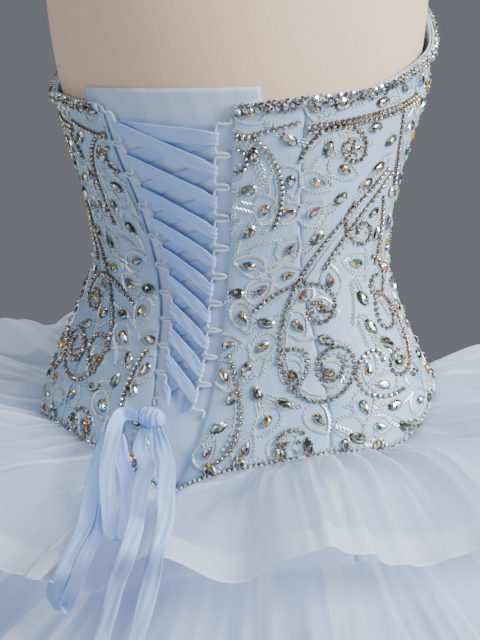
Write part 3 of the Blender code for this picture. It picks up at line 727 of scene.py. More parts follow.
def stone_tree(name, strung):
    """Nodes that set a stone on each point, or string stones along each line at a pitch."""
    tree = bpy.data.node_groups.new(name, "GeometryNodeTree")
    sockets = (("Stone", "NodeSocketObject"), ("Pitch", "NodeSocketFloat"), ("Seed", "NodeSocketInt"),
               ("Finish", "NodeSocketMaterial"))
    tree.interface.new_socket("Geometry", in_out="INPUT", socket_type="NodeSocketGeometry")
    for title, kind in sockets:
        tree.interface.new_socket(title, in_out="INPUT", socket_type=kind)
    tree.interface.new_socket("Geometry", in_out="OUTPUT", socket_type="NodeSocketGeometry")
    start = Link(tree)
    given = [start.node("NodeGroupInput", output=i) for i in range(5)]

    def named(kind, title):
        return start.node("GeometryNodeInputNamedAttribute", {"data_type": kind}, {"Name": title})

    points, along = given[0], named("FLOAT_VECTOR", "along")
    if strung:
        line = start.node("GeometryNodeMeshToCurve", {}, {"Mesh": points})
        points = start.node("GeometryNodeResampleCurve", {"mode": "LENGTH"},
                            {"Curve": line, "Length": given[2]})
        along = start.node("GeometryNodeInputTangent")
    turned = start.node("FunctionNodeAxesToRotation", {"primary_axis": "Z", "secondary_axis": "X"},
                        {"Primary Axis": named("FLOAT_VECTOR", "out"), "Secondary Axis": along})
    stone = start.node("GeometryNodeObjectInfo", {}, {"Object": given[1], "As Instance": True}, 4)
    placed_stones = start.node("GeometryNodeInstanceOnPoints", {},
                               {"Points": points, "Instance": stone, "Rotation": turned,
                                "Scale": named("FLOAT_VECTOR", "size")})
    pick = start.node("FunctionNodeRandomValue", {"data_type": "FLOAT"}, {"Seed": given[3]}, 1)
    marked = start.node("GeometryNodeStoreNamedAttribute", {"data_type": "FLOAT", "domain": "INSTANCE"},
                        {"Geometry": placed_stones, "Name": "pick", "Value": pick})
    real = start.node("GeometryNodeRealizeInstances", {}, {"Geometry": marked})
    finished = start.node("GeometryNodeSetMaterial", {}, {"Geometry": real, "Material": given[4]})
    end = tree.nodes.new("NodeGroupOutput")
    tree.links.new(finished.socket, end.inputs[0])
    return tree


set_stones = stone_tree("set_stones", False)
strung_stones = stone_tree("strung_stones", True)


def carrier(places, outs, alongs, sizes, lines=()):
    """A mesh of points, joined into lines where stones are strung, with the stones' directions."""
    mesh = bpy.data.meshes.new("places")
    mesh.from_pydata(np.asarray(places).tolist(), [list(map(int, edge)) for edge in lines], [])
    for title, values in (("out", outs), ("along", alongs), ("size", sizes)):
        layer = mesh.attributes.new(title, "FLOAT_VECTOR", "POINT")
        layer.data.foreach_set("vector", np.asarray(values, float).ravel())
    item = bpy.data.objects.new("places", mesh)
    bpy.context.scene.collection.objects.link(item)
    return item


def stones(name, item, tree, stone, material, pitch, seed):
    """Runs a stone tree on a carrier and keeps the result as a plain piece."""
    modifier = item.modifiers.new("stones", "NODES")
    modifier.node_group = tree
    given = {"Stone": stone, "Pitch": pitch, "Seed": seed, "Finish": material}
    for socket in tree.interface.items_tree:
        if socket.in_out == "INPUT" and socket.name in given:
            modifier[socket.identifier] = given[socket.name]
    bpy.context.view_layer.update()
    graph = bpy.context.evaluated_depsgraph_get()
    mesh = bpy.data.meshes.new_from_object(item.evaluated_get(graph), preserve_all_data_layers=True,
                                           depsgraph=graph)
    mesh.name = name
    item.modifiers.clear()
    bpy.data.objects.remove(item)
    piece = bpy.data.objects.new(name, mesh)
    bpy.context.scene.collection.objects.link(piece)
    mesh.shade_flat()
    return piece


def cut_stone(name, outline, rings, seed, middle=None):
    """A faceted stone in its cup: rings of height and share of the outline, closed by a table or a fan.

    Each facet carries a random number that picks its painted reflection, and those of the cup carry -1.
    """
    random = np.random.default_rng(seed)
    outline = np.asarray(outline)
    count = len(outline)
    painted_flash_picks = random.random((len(rings), count // 2 + 1))
    points, faces, marks = [], [], []
    for level, (height, share, half_step) in enumerate(rings):
        shape = (outline + np.roll(outline, -1, axis=0)) / 2 if half_step else outline
        points += [(x * share, y * share, height) for x, y in shape]
        if level == 0:
            continue
        low, high = (level - 1) * count, level * count
        for k in range(count):
            after = (k + 1) % count
            if rings[level][2] == rings[level - 1][2]:
                faces.append((low + k, low + after, high + after, high + k))
                marks.append(-1.0)
            elif half_step:
                faces += [(low + k, low + after, high + k), (low + after, high + after, high + k)]
                marks += [painted_flash_picks[level, k // 2]] * 2
            else:
                faces += [(low + k, high + after, high + k), (low + k, low + after, high + after)]
                marks += [painted_flash_picks[level, k // 2]] * 2
    top = (len(rings) - 1) * count
    if middle is None:
        faces.append(tuple(range(top, top + count)))
        marks.append(random.random())
    else:
        points.append((0.0, 0.0, middle))
        faces += [(top + k, top + (k + 1) % count, top + count) for k in range(count)]
        marks += [painted_flash_picks[0, (k + 1) // 2] for k in range(count)]
    faces.append(tuple(range(count - 1, -1, -1)))
    marks.append(-1.0)
    mesh = bpy.data.meshes.new(name)
    mesh.from_pydata(points, [], faces)
    mesh.attributes.new("facet", "FLOAT", "FACE").data.foreach_set("value", np.array(marks, float))
    item = bpy.data.objects.new(name, mesh)
    bpy.context.scene.collection.objects.link(item)
    return item


def round_outline(count):
    """A ring of points one unit across."""
    turns = 2 * np.pi * np.arange(count) / count
    return np.stack([np.cos(turns), np.sin(turns)], axis=1) / 2


def drop_outline(count, sharp):
    """A drop or, with a smaller number, a leaf shape, one unit long, its point at the front."""
    turns = 2 * np.pi * (np.arange(count) + 0.5) / count
    width = np.sin(turns) * np.abs(np.sin(turns / 2)) ** sharp
    return np.stack([np.cos(turns) / 2, width / np.abs(width).max() * 0.5], axis=1)


def faceted(name, stops, metallic, roughness, cup=(0.55, 0.53, 0.50)):
    """Stone facets in a silver cup, each painted one flat colour picked at random from the stops: painted
    reflections, with dark painted shade and near-white painted highlights among the glass's and coating's
    colours.
    """
    material, look, shader = new_material(name)
    facet, pick = look.mark("facet"), look.mark("pick")
    # Each facet's painted reflection: a random pick among the stops, from dark painted shade to near-white
    # painted highlight.
    shade = (facet * 3.7 + pick * 5.3).fraction()
    colour = look.node("ShaderNodeValToRGB", {"blend": "CONSTANT", "stops": stops}, {"Fac": shade})
    is_stone = facet.over(-0.5)
    set_shader(look, shader, Specular_IOR_Level=0.9, Coat_Roughness=0.03,
               Base_Color=look.tint(is_stone, cup, colour), Metallic=1.0 - is_stone * (1.0 - metallic),
               Roughness=0.30 - is_stone * (0.30 - roughness), Coat_Weight=is_stone)
    return material


# Metal chains
# Cup chain: foil backed stones about 4 mm across in little bronze silver cups, sewn down along
# scrolls and volutes, in one row or two.
CHAIN_STONE = 4.4 * MM
CHAIN_PITCH = 4.75 * MM
CHAIN_LEVEL = PANEL_OUT - 0.2 * MM
ROW_GAP = 4.5 * MM
# A line's stretches keep clear of the cloth's edges, and have this many points or more
CHAIN_MARGIN = 3.5 * MM
SHORTEST_RUN = 16
# The front half's lines begin past one angle, and the back half's end before the other
FRONT_FROM, BACK_TO = 92.0, 96.0

cup_stone = cut_stone("cup_stone", round_outline(8),
                      ((0.0, 0.86, 0), (0.30, 1.0, 0), (0.52, 0.86, 0), (0.72, 0.62, 1), (0.84, 0.34, 0)), 3)
# The chain stones' facets: bronze tones with near-white painted highlights and dark brown painted shade.
chain_finish = faceted("cup_chain", ((0.0, (0.16, 0.12, 0.085)), (0.16, (0.56, 0.47, 0.36)),
                                     (0.38, (1.0, 0.95, 0.87)), (0.51, (0.34, 0.27, 0.20)),
                                     (0.66, (0.84, 0.75, 0.63)), (0.84, (0.50, 0.41, 0.31))),
                       0.86, 0.16, (0.36, 0.28, 0.20))
scroll_lines = []
for table, front in ((BACK_SCROLLS, False), (FRONT_SCROLLS, True)):
    for row in table:
        line = scroll_line(row)
        spreads = (0.0,) if row[7] == 1 else (-0.5 * ROW_GAP, 0.5 * ROW_GAP)
        scroll_lines += [placed(beside(line, spread), front) + (front, row) for spread in spreads]


def sewn_runs(xs, hs, headings, front):
    """The stretches of a line that lie on the cloth and on their own half of the gown."""
    angle = angle_at(xs, hs)
    keep = inside(xs, hs, CHAIN_MARGIN) & ((angle > FRONT_FROM) if front else (angle < BACK_TO))
    breaks = np.flatnonzero(np.diff(np.concatenate([[0], keep.astype(int), [0]])))
    return [(xs[a:b], hs[a:b], headings[a:b])
            for a, b in zip(breaks[::2], breaks[1::2]) if b - a > SHORTEST_RUN]


def string_stones(name, lines, side, level, size, pitch, stone, material, seed):
    """Strings stones along flat lines of one half, mirrored to the left half where side is -1."""
    places, outs, edges, first = [], [], [], 0
    for xs, hs, headings in lines:
        place, out, _ = on_bodice(side * xs, hs, headings, level)
        places.append(place)
        outs.append(out)
        edges += [(first + i, first + i + 1) for i in range(len(xs) - 1)]
        first += len(xs)
    places, outs = np.concatenate(places), np.concatenate(outs)
    item = carrier(places, outs, outs, np.full(places.shape, size), edges)
    return stones(name, item, strung_stones, stone, material, pitch, seed)


chain_runs = [run for xs, hs, headings, hand, front, row in scroll_lines
              for run in sewn_runs(xs, hs, headings, front)]
for side, word in SIDES:
    wear(string_stones(f"cup_chains_{word}", chain_runs, side, CHAIN_LEVEL, CHAIN_STONE, CHAIN_PITCH,
                       cup_stone, chain_finish, 11 + side), "rhinestones")

# Drop stones
# Sew-on glass drops and leaves about 15 mm long: some with a coating that flashes orange, teal,
# violet and white, the others a clear smoky olive. They fill the ground between the scrolls.
DROP_LONG, DROP_WIDE, DROP_TALL = 15.5 * MM, 9.5 * MM, 4.2 * MM
STONE_GAP = 19.0 * MM
CHAIN_CLEAR = 6.2 * MM
# The ground of one half: its heights, its distances round the body, its margin and its grid
GROUND_HEIGHTS, GROUND_ACROSS = (-0.172, 0.226), (0.026, 0.470)
GROUND_MARGIN = 7.0 * MM
GROUND_STEP = 6.0 * MM
COATED_SHARE = 0.55
# Rings of a stone's form: height, share of its outline, and 1 where it is turned half a facet
SHOWN_RINGS = ((0.0, 0.94, 0), (0.22, 1.0, 0), (0.62, 0.80, 1), (0.86, 0.52, 0))
drop_stone = cut_stone("drop_stone", drop_outline(12, 0.8), SHOWN_RINGS, 5, 0.93)
leaf_stone = cut_stone("leaf_stone", drop_outline(12, 0.0), SHOWN_RINGS, 6, 0.92)
# The coated drops' facets: the coating's orange, teal, yellow, violet, green and blue as painted reflections,
# with near-white painted highlights and near-black painted shade.
flash_finish = faceted("coated_glass", ((0.0, (1.0, 0.40, 0.04)), (0.11, (0.05, 0.05, 0.05)),
                                        (0.22, (0.06, 0.52, 0.66)), (0.33, (1.0, 0.74, 0.16)),
                                        (0.42, (0.26, 0.14, 0.46)), (0.50, (0.90, 0.94, 0.96)),
                                        (0.55, (0.20, 0.11, 0.05)), (0.67, (0.82, 0.26, 0.06)),
                                        (0.76, (0.10, 0.16, 0.20)), (0.84, (0.24, 0.60, 0.42)),
                                        (0.91, (0.38, 0.72, 0.88))), 0.70, 0.06)
# The smoky drops' facets: the glass's olive tones with near-black painted shade and near-white painted
# highlights.
smoky_finish = faceted("smoky_glass", ((0.0, (0.055, 0.06, 0.04)), (0.24, (0.24, 0.27, 0.20)),
                                       (0.44, (0.58, 0.61, 0.51)), (0.58, (0.11, 0.12, 0.085)),
                                       (0.74, (0.38, 0.41, 0.32)), (0.89, (0.94, 0.95, 0.90))), 0.65, 0.07)
chain_x = np.concatenate([run[0] for run in chain_runs])
chain_h = np.concatenate([run[1] for run in chain_runs])
chain_turn = np.concatenate([run[2] for run in chain_runs])


def ground_places(random):
    """Stones spread over one half, clear of the chains and each other, each turned its own way."""
    chosen = []
    hs, xs = np.meshgrid(np.arange(*GROUND_HEIGHTS, GROUND_STEP), np.arange(*GROUND_ACROSS, GROUND_STEP),
                         indexing="ij")
    xs = (xs + random.uniform(-0.4, 0.4, xs.shape) * GROUND_STEP).ravel()
    hs = (hs + random.uniform(-0.4, 0.4, hs.shape) * GROUND_STEP).ravel()
    on_cloth = inside(xs, hs, GROUND_MARGIN) & (xs < half_girth(hs) - GROUND_MARGIN)
    for i in random.permutation(np.flatnonzero(on_cloth)):
        distance = np.hypot(chain_x - xs[i], chain_h - hs[i])
        nearest = int(distance.argmin())
        if distance[nearest] < CHAIN_CLEAR:
            continue
        if any(math.hypot(xs[i] - x, hs[i] - h) < STONE_GAP for x, h, _, _ in chosen):
            continue
        away = math.degrees(math.atan2(hs[i] - chain_h[nearest], xs[i] - chain_x[nearest]))
        chosen.append((xs[i], hs[i], away + random.choice((90.0, -90.0, 40.0)), random.random()))
    return chosen


def set_on_bodice(name, rows, side, level, stone, material, seed):
    """Sets stones from rows of place across, height, heading and size in three directions."""
    rows = np.array(rows)
    place, out, along = on_bodice(side * rows[:, 0], rows[:, 1],
                                  np.where(side > 0, rows[:, 2], 180.0 - rows[:, 2]), level)
    item = carrier(place, out, along, rows[:, 3:6])
    return stones(name, item, set_stones, stone, material, 0.0, seed)


ground = ground_places(np.random.default_rng(21))
flashing = [g for g in ground if g[3] < COATED_SHARE]
smoky = [g for g in ground if g[3] >= COATED_SHARE]
for side, word in SIDES:
    for kind, chosen, stone, material in (("coated", flashing, drop_stone, flash_finish),
                                          ("smoky", smoky, leaf_stone, smoky_finish)):
        rows = [(x, h, heading, DROP_LONG * (0.80 + 0.25 * share), DROP_WIDE * (0.78 + 0.25 * share),
                 DROP_TALL) for x, h, heading, share in chosen]
        drops = set_on_bodice(f"{kind}_drops_{word}", rows, side, PANEL_OUT, stone, material, 31 + side)
        wear(drops, "rhinestones")

# Bugle beads
# Clear iridescent glass tubes 3 mm long, sewn in slanting pairs like rope round the coated drops,
# in single lines beside the scrolls, and in sprays of leaves between them.
BUGLE_LONG, BUGLE_THICK = 3.1 * MM, 1.3 * MM
BUGLE_STEP = 3.1 * MM
BESIDE_SCROLL = 4.6 * MM
ROPE_SLANT, ROPE_GAP = 26.0, 0.75 * MM
# A leaf's half width over that of its stem, and the degrees at which its pairs are set out from
# its middle line and slant
LEAF_HALF, LEAF_STEM = 2.6 * MM, 0.7 * MM
LEAF_REACH_TURN, LEAF_SLANT = 62.0, 34.0
# How far a leaf of rope keeps from the chains, the stones and its like, and how many are tried
FEATHER_TRIES = 900
FEATHER_FROM_CHAIN, FEATHER_FROM_STONE, FEATHER_APART = 5.0 * MM, 10.0 * MM, 5.5 * MM
# The room that it keeps on its way, beside the chains and past a stone's own radius
FEATHER_CLEAR, STONE_RADIUS = 4.2 * MM, 4.0 * MM
# Beads along the lower edge: their pitch in degrees, their height over the edge, how far the two
# of a pair lie apart, and their slant
EDGE_BEAD_PITCH, EDGE_BEAD_RISE = 2.3, 2.2 * MM
EDGE_PAIR_GAP, EDGE_BEAD_SLANT = 1.6 * MM, 60.0
# How far every bead keeps from the cloth's edges and from the chains
BEAD_MARGIN, BEAD_CLEAR = 1.4 * MM, 2.6 * MM
bugle_outline = round_outline(5)


def bugle():
    """A five sided tube one unit long."""
    points = [(x, 0.5 * c, 0.5 * s + 0.4) for x in (-0.5, 0.5) for c, s in bugle_outline * 2]
    count = len(bugle_outline)
    faces = [(k, (k + 1) % count, count + (k + 1) % count, count + k) for k in range(count)]
    faces += [tuple(range(count - 1, -1, -1)), tuple(range(count, 2 * count))]
    mesh = bpy.data.meshes.new("bugle")
    mesh.from_pydata(points, [], faces)
    item = bpy.data.objects.new("bugle", mesh)
    bpy.context.scene.collection.objects.link(item)
    return item


def iridescent():
    """Clear glass with a milky shine that turns a little green, pink or gold from bead to bead."""
    material, look, shader = new_material("iridescent_glass")
    pick = look.mark("pick")
    stops = ((0.0, (0.38, 0.54, 0.60)), (0.22, (0.78, 0.86, 0.82)), (0.42, (0.48, 0.68, 0.68)),
             (0.62, (0.80, 0.86, 0.86)), (0.82, (0.84, 0.80, 0.68)), (1.0, (0.54, 0.60, 0.78)))
    colour = look.node("ShaderNodeValToRGB", {"stops": stops}, {"Fac": pick})
    set_shader(look, shader, Base_Color=colour, Roughness=0.10 + pick * 0.12, Specular_IOR_Level=1.0,
               Metallic=0.25, Coat_Weight=0.6, Coat_Roughness=0.05)
    return material


def rope(line, slant=ROPE_SLANT, gap=ROPE_GAP):
    """Two rows of slanting bugles along a line: place across, height and heading."""
    xs, hs, headings = line
    every = points_apart(BUGLE_STEP)
    rows = []
    for hand in (1, -1):
        for i in range(0 if hand > 0 else every // 2, len(xs), every):
            turn = math.radians(headings[i] + 90.0 * hand)
            rows.append((xs[i] + gap * math.cos(turn), hs[i] + gap * math.sin(turn),
                         headings[i] - hand * slant))
    return rows


def arc_line(x, h, heading, length, bend):
    """A plain bent line from a place."""
    line = scroll_line((x / MM, h / MM, heading, length / MM, bend, bend, 1.0, 1))
    return line[:3]


def drop_line(x, h, heading, long, wide):
    """A closed drop outline round a stone."""
    turns = np.linspace(0.0, 2 * np.pi, 90)
    flat_x = 0.5 * long * np.cos(turns)
    flat_y = 0.62 * wide * np.sin(turns) * np.abs(np.sin(turns / 2)) ** 0.8
    c, s = math.cos(math.radians(heading)), math.sin(math.radians(heading))
    xs, hs = x + flat_x * c - flat_y * s, h + flat_x * s + flat_y * c
    lengths = np.concatenate([[0.0], np.cumsum(np.hypot(np.diff(xs), np.diff(hs)))])
    even = np.arange(0.0, lengths[-1], STEP * MM)
    xs, hs = np.interp(even, lengths, xs), np.interp(even, lengths, hs)
    return xs, hs, np.degrees(np.arctan2(np.gradient(hs), np.gradient(xs)))


def spray(x, h, heading, long, random):
    """A leaf of bugles: a bent middle line with slanting pairs on both sides."""
    bend = random.uniform(-1.2, 1.2)
    xs, hs, headings = arc_line(x, h, heading, long, bend)
    rows = []
    every = points_apart(BUGLE_STEP * 1.05)
    for i in range(every, len(xs), every):
        share = i / len(xs)
        reach = LEAF_HALF * math.sin(math.pi * min(share * 0.9 + 0.1, 1.0)) + LEAF_STEM
        for hand in (1, -1):
            turn = math.radians(headings[i] + LEAF_REACH_TURN * hand)
            rows.append((xs[i] + reach * math.cos(turn), hs[i] + reach * math.sin(turn),
                         headings[i] + LEAF_SLANT * hand))
        rows.append((xs[i], hs[i], headings[i]))
    return rows


def feathers(random):
    """Long leaves of rope in the ground that the chains and the stones leave free."""
    stone_x, stone_h = np.array([g[0] for g in ground]), np.array([g[1] for g in ground])
    taken_x, taken_h = [], []
    rows = []
    for x, h in zip(random.uniform(0.030, 0.46, FEATHER_TRIES), random.uniform(-0.165, 0.22, FEATHER_TRIES)):
        distance = np.hypot(chain_x - x, chain_h - h)
        near = int(distance.argmin())
        from_like = np.hypot(np.array(taken_x) - x, np.array(taken_h) - h)
        if (distance[near] < FEATHER_FROM_CHAIN
                or np.hypot(stone_x - x, stone_h - h).min() < FEATHER_FROM_STONE
                or from_like.min(initial=1.0) < FEATHER_APART):
            continue
        heading = chain_turn[near] + random.uniform(-20.0, 20.0)
        xs, hs, headings = arc_line(x, h, heading, random.uniform(0.016, 0.034), random.uniform(-2.2, 2.2))
        from_stones = np.hypot(stone_x[:, None] - xs, stone_h[:, None] - hs).min(axis=0) - STONE_RADIUS
        from_chains = np.hypot(chain_x[:, None] - xs, chain_h[:, None] - hs).min(axis=0)
        met = np.flatnonzero(np.minimum(from_stones, from_chains) < FEATHER_CLEAR)
        stop = int(met[0]) if len(met) else len(xs)
        if stop < SHORTEST_RUN:
            continue
        rows += rope((xs[:stop], hs[:stop], headings[:stop]))
        taken_x += xs[:stop:4].tolist()
        taken_h += hs[:stop:4].tolist()
    return rows


def beside_scrolls(first, last):
    """The stretches beside the long scrolls that bugles or small stones follow, as shares of each."""
    runs = []
    for xs, hs, headings, hand, front, row in scroll_lines:
        if long_and_single(row):
            xs, hs, headings, _ = beside((xs, hs, headings, hand), BESIDE_SCROLL)
            keep = slice(int(first * len(xs)), int(last * len(xs)))
            runs += sewn_runs(xs[keep], hs[keep], headings[keep], front)
    return runs


def bugle_rows():
    """All bugles of one half: place across, height and heading."""
    random = np.random.default_rng(8)
    rows = []
    for x, h, heading, share in flashing:
        outline = drop_line(x - 0.001 * math.cos(math.radians(heading)), h, heading,
                            DROP_LONG * 1.75, DROP_WIDE * 1.95)
        rows += rope(outline, 14.0 + 16.0 * (share > 0.3), 0.55 * MM)
    every = points_apart(BUGLE_STEP * 1.12)
    for xs, hs, headings in beside_scrolls(0.12, 0.70):
        rows += zip(xs[::every], hs[::every], headings[::every])
    for x, h, heading, share in smoky:
        rows += spray(x, h, heading + 180.0, random.uniform(0.016, 0.026), random)
        if share > 0.78:
            rows += spray(x, h, heading + 20.0, random.uniform(0.014, 0.022), random)
    rows += feathers(random)
    for angle in np.arange(9.0, 180.0, EDGE_BEAD_PITCH):
        low = read(BOTTOM_EDGE, angle)
        across = across_at(angle, int(arc_row(low)))
        rows += [(across, low + EDGE_BEAD_RISE, EDGE_BEAD_SLANT),
                 (across + EDGE_PAIR_GAP, low + EDGE_BEAD_RISE, -EDGE_BEAD_SLANT)]
    return rows


bugle_bead = bugle()
bugle_glass = iridescent()
half_rows = [row for row in bugle_rows()
             if inside(np.array([row[0]]), np.array([row[1]]), BEAD_MARGIN)[0]
             and np.hypot(chain_x - row[0], chain_h - row[1]).min() > BEAD_CLEAR
             and row[0] < half_girth(row[1])]
for side, word in SIDES:
    sized = [(x, h, heading, BUGLE_LONG, BUGLE_THICK, BUGLE_THICK) for x, h, heading in half_rows]
    wear(set_on_bodice(f"bugle_beads_{word}", sized, side, PANEL_OUT, bugle_bead, bugle_glass, 41 + side),
         "rhinestones")

# Small round stones and the lower edge
# Clear coated stones 3 to 4 mm across follow the inside of each volute and run in little scallops
# along the lower edge, where small glass drops point down over them, in ones and twos.
ROUND_STONE = 3.6 * MM
ROUND_PITCH = 4.6 * MM
# The scallops: how far they lie under the edge, their depth, and their length divided by pi
EDGE_DROP, SCALLOP_DEPTH, SCALLOP_LENGTH = 0.6 * MM, 1.7 * MM, 0.0072
# The drops over them: their pitch, how far each strays, and their height over the edge
EDGE_STONE_PITCH, EDGE_STRAY, EDGE_STONE_RISE = 0.0290, 0.004, 3.0 * MM
EDGE_STONE_LEVEL = PANEL_OUT + 0.6 * MM
# How a pair of drops spreads in degrees, how often there is a pair, and the drops' sizes
PAIR_SPREAD, PAIR_SHARE, PAIR_ARM = (-32.0, 24.0), 0.55, 5.0 * MM
SMALL_DROP = (0.72, 0.92)
round_stone = cut_stone("round_stone", round_outline(8),
                        ((0.0, 0.9, 0), (0.2, 1.0, 0), (0.5, 0.72, 1), (0.66, 0.42, 0)), 9)
# The clear stones' facets: near-white painted highlights, grey painted shade, and pale violet and green
# painted reflections.
clear_finish = faceted("clear_glass", ((0.0, (0.80, 0.88, 0.90)), (0.22, (0.45, 0.52, 0.56)),
                                       (0.40, (0.95, 0.95, 0.93)), (0.56, (0.74, 0.66, 0.84)),
                                       (0.70, (0.62, 0.80, 0.76)), (0.85, (0.30, 0.33, 0.34))),
                       0.30, 0.06, (0.70, 0.72, 0.74))
edge_angles = np.arange(3.0, 179.9, 0.12)
edge_heights = read(BOTTOM_EDGE, edge_angles)
edge_across = np.array([across_at(angle, int(round(arc_row(height))))
                        for angle, height in zip(edge_angles, edge_heights)])
edge_turn = np.degrees(np.arctan2(np.gradient(edge_heights), np.gradient(edge_across)))
scallops = SCALLOP_DEPTH * np.abs(np.sin(edge_across / SCALLOP_LENGTH))
round_runs = beside_scrolls(0.72, 0.90)
round_runs.append((edge_across, edge_heights - EDGE_DROP - scallops, edge_turn))


def edge_drops(random):
    """The glass drops of one half's lower edge, single or in pairs that spread apart."""
    rows = []
    for start in np.arange(0.036, edge_across[-1] - 0.008, EDGE_STONE_PITCH):
        across = start + random.uniform(-EDGE_STRAY, EDGE_STRAY)
        low = float(np.interp(across, edge_across, edge_heights))
        down = float(np.interp(across, edge_across, edge_turn)) - 90.0
        for spread in (0.0,) if random.random() > PAIR_SHARE else PAIR_SPREAD:
            share = random.uniform(*SMALL_DROP)
            rows.append((across + PAIR_ARM * math.sin(math.radians(spread)), low + EDGE_STONE_RISE,
                         down + spread, DROP_LONG * share, DROP_WIDE * share, DROP_TALL))
    return rows


edge_rows = edge_drops(np.random.default_rng(17))
for side, word in SIDES:
    for kind, chosen, material in (("coated", edge_rows[::2], flash_finish),
                                   ("smoky", edge_rows[1::2], smoky_finish)):
        drops = set_on_bodice(f"{kind}_edge_drops_{word}", chosen, side, EDGE_STONE_LEVEL, drop_stone,
                              material, 61 + side)
        wear(drops, "rhinestones")
    wear(string_stones(f"round_stones_{word}", round_runs, side, PANEL_OUT - 0.1 * MM, ROUND_STONE,
                       ROUND_PITCH, round_stone, clear_finish, 51 + side), "rhinestones")

# Top edge trim
# A raised band of set rhinestones 5 to 7 mm across, packed in two uneven rows with small ones
# between, from one back edge round the bust to the other.

# The band's level, width and rise, the pitch of its stones, and the height of its ends
TRIM_LEVEL, TRIM_WIDTH, TRIM_RISE = 4.8 * MM, 0.0064, 0.0030
TRIM_STEP = 0.0052
TRIM_END_HEIGHT = 0.141
# Rows of stones: height over the band's middle, size beside the full one
TRIM_ROWS = ((1.1 * MM, 0.85), (-2.9 * MM, 1.0), (-6.6 * MM, 0.62))
TRIM_LEFT_OUT = 0.55


def make_top_trim():
    """The trim's cloth band, and the stones that cover it."""
    first = float(angle_of(read(GAP_EDGE, TRIM_END_HEIGHT), TRIM_END_HEIGHT)) + 0.6
    angle = np.linspace(first, 360.0 - first, 260)[:, None]
    turn = np.linspace(0.0, math.pi, 9)[None, :]
    height = top_edge(angle) - SEAM - TRIM_WIDTH / 2 - np.cos(turn) * TRIM_WIDTH / 2
    outer = body(angle, height, TRIM_LEVEL + np.sin(turn) * TRIM_RISE * 0.55)
    band = cloth_wall("top_edge_band", outer, body(angle, height, TRIM_LEVEL - 0.6 * MM), bodice_finish)
    wear(band, "rhinestones", "top_edge_trim")
    lengths = np.concatenate([[0.0], np.cumsum(np.linalg.norm(np.diff(outer[:, 4], axis=0), axis=-1))])
    random = np.random.default_rng(5)
    places, outs, alongs, sizes = [], [], [], []
    for row, (offset, small) in enumerate(TRIM_ROWS):
        for k in range(int(lengths[-1] / TRIM_STEP)):
            if row == 2 and random.random() < TRIM_LEFT_OUT:
                continue
            at = (k + 0.5 * (row % 2) + random.uniform(-0.12, 0.12)) * TRIM_STEP
            here = float(np.interp(at, lengths, angle[:, 0]))
            up = float(top_edge(here)) - SEAM - TRIM_WIDTH / 2 + offset + random.uniform(-0.5, 0.5) * MM
            level = TRIM_LEVEL + (TRIM_RISE * 0.5 if row < 2 else -0.8 * MM)
            out = outward(np.array(here), up)
            out = unit(out + np.array([0.0, 0.0, 0.35 if row == 0 else 0.0]) + random.uniform(-0.16, 0.16, 3))
            places.append(body(here, up, level))
            outs.append(out)
            alongs.append(np.cross(out, random.uniform(-1.0, 1.0, 3)))
            sizes.append((random.uniform(4.8, 6.6) * small * MM,) * 3)
    item = carrier(places, outs, alongs, sizes)
    wear(stones("top_edge_stones", item, set_stones, trim_stone, trim_finish, 0.0, 61), "rhinestones")


trim_stone = cut_stone("trim_stone", round_outline(8),
                       ((0.0, 0.8, 0), (0.30, 1.0, 0), (0.55, 0.78, 1), (0.70, 0.46, 0)), 12)
# The set rhinestones' facets: near-white painted highlights and near-black painted shade among greys, with
# one warm grey.
trim_finish = faceted("set_rhinestone", ((0.0, (0.12, 0.12, 0.11)), (0.20, (0.70, 0.70, 0.68)),
                                         (0.36, (0.96, 0.96, 0.95)), (0.50, (0.34, 0.33, 0.30)),
                                         (0.64, (0.85, 0.85, 0.84)), (0.80, (0.18, 0.17, 0.16)),
                                         (0.90, (0.60, 0.56, 0.50))), 0.75, 0.07, (0.50, 0.47, 0.43))
make_top_trim()
for stone in (cup_stone, drop_stone, leaf_stone, bugle_bead, round_stone, trim_stone):
    bpy.data.objects.remove(stone)

# Modesty panel
# A plain satin piece behind the lacing, turned over a narrow hem at its top. It lies flat on the
# form and its sides go a little way under the back panels.
MODESTY_IN, MODESTY_OUT = -0.8 * MM, 0.2 * MM
# Its top's height and half width in degrees, how far it goes under each back panel, and how far
# it ends above the bodice's lower edge
MODESTY_TOP, MODESTY_TOP_ANGLE = 0.158, 41.0
MODESTY_SPARE, MODESTY_BOTTOM_GAP = 0.020, 0.0024
# The hem's depth, and the width and depth of its turned edge
MODESTY_HEM, HEM_LINE, HEM_DIP = 0.012, 0.0012, 0.25 * MM


def satin(name, low, high, wrinkle=1.0, roughness=0.34):
    """Ribbon satin: a soft sheen, lengthwise threads and shallow creases, with broad streaks between a darker
    and a lighter colour as painted sheen and painted shade.
    """
    material, look, shader = new_material(name)
    flat = look.flat_place()
    # Painted sheen and painted shade: broad soft streaks along the cloth between the low and the high colour.
    shade = look.noise(flat, 1.0, 2.0, stretch=(60.0, 22.0, 1.0))
    threads = look.noise(flat, 1.0, 2.0, stretch=(3400.0, 60.0, 1.0))
    creases = look.noise(flat, 1.0, 3.0, stretch=(240.0, 70.0, 1.0))
    set_shader(look, shader, Sheen_Weight=0.3, Sheen_Roughness=0.35, Specular_IOR_Level=0.55,
               Roughness=roughness + threads * 0.14, Base_Color=look.tint(shade, low, high),
               Normal=look.bump(creases * wrinkle + threads * 0.10, 0.5 * MM, 0.6))
    return material


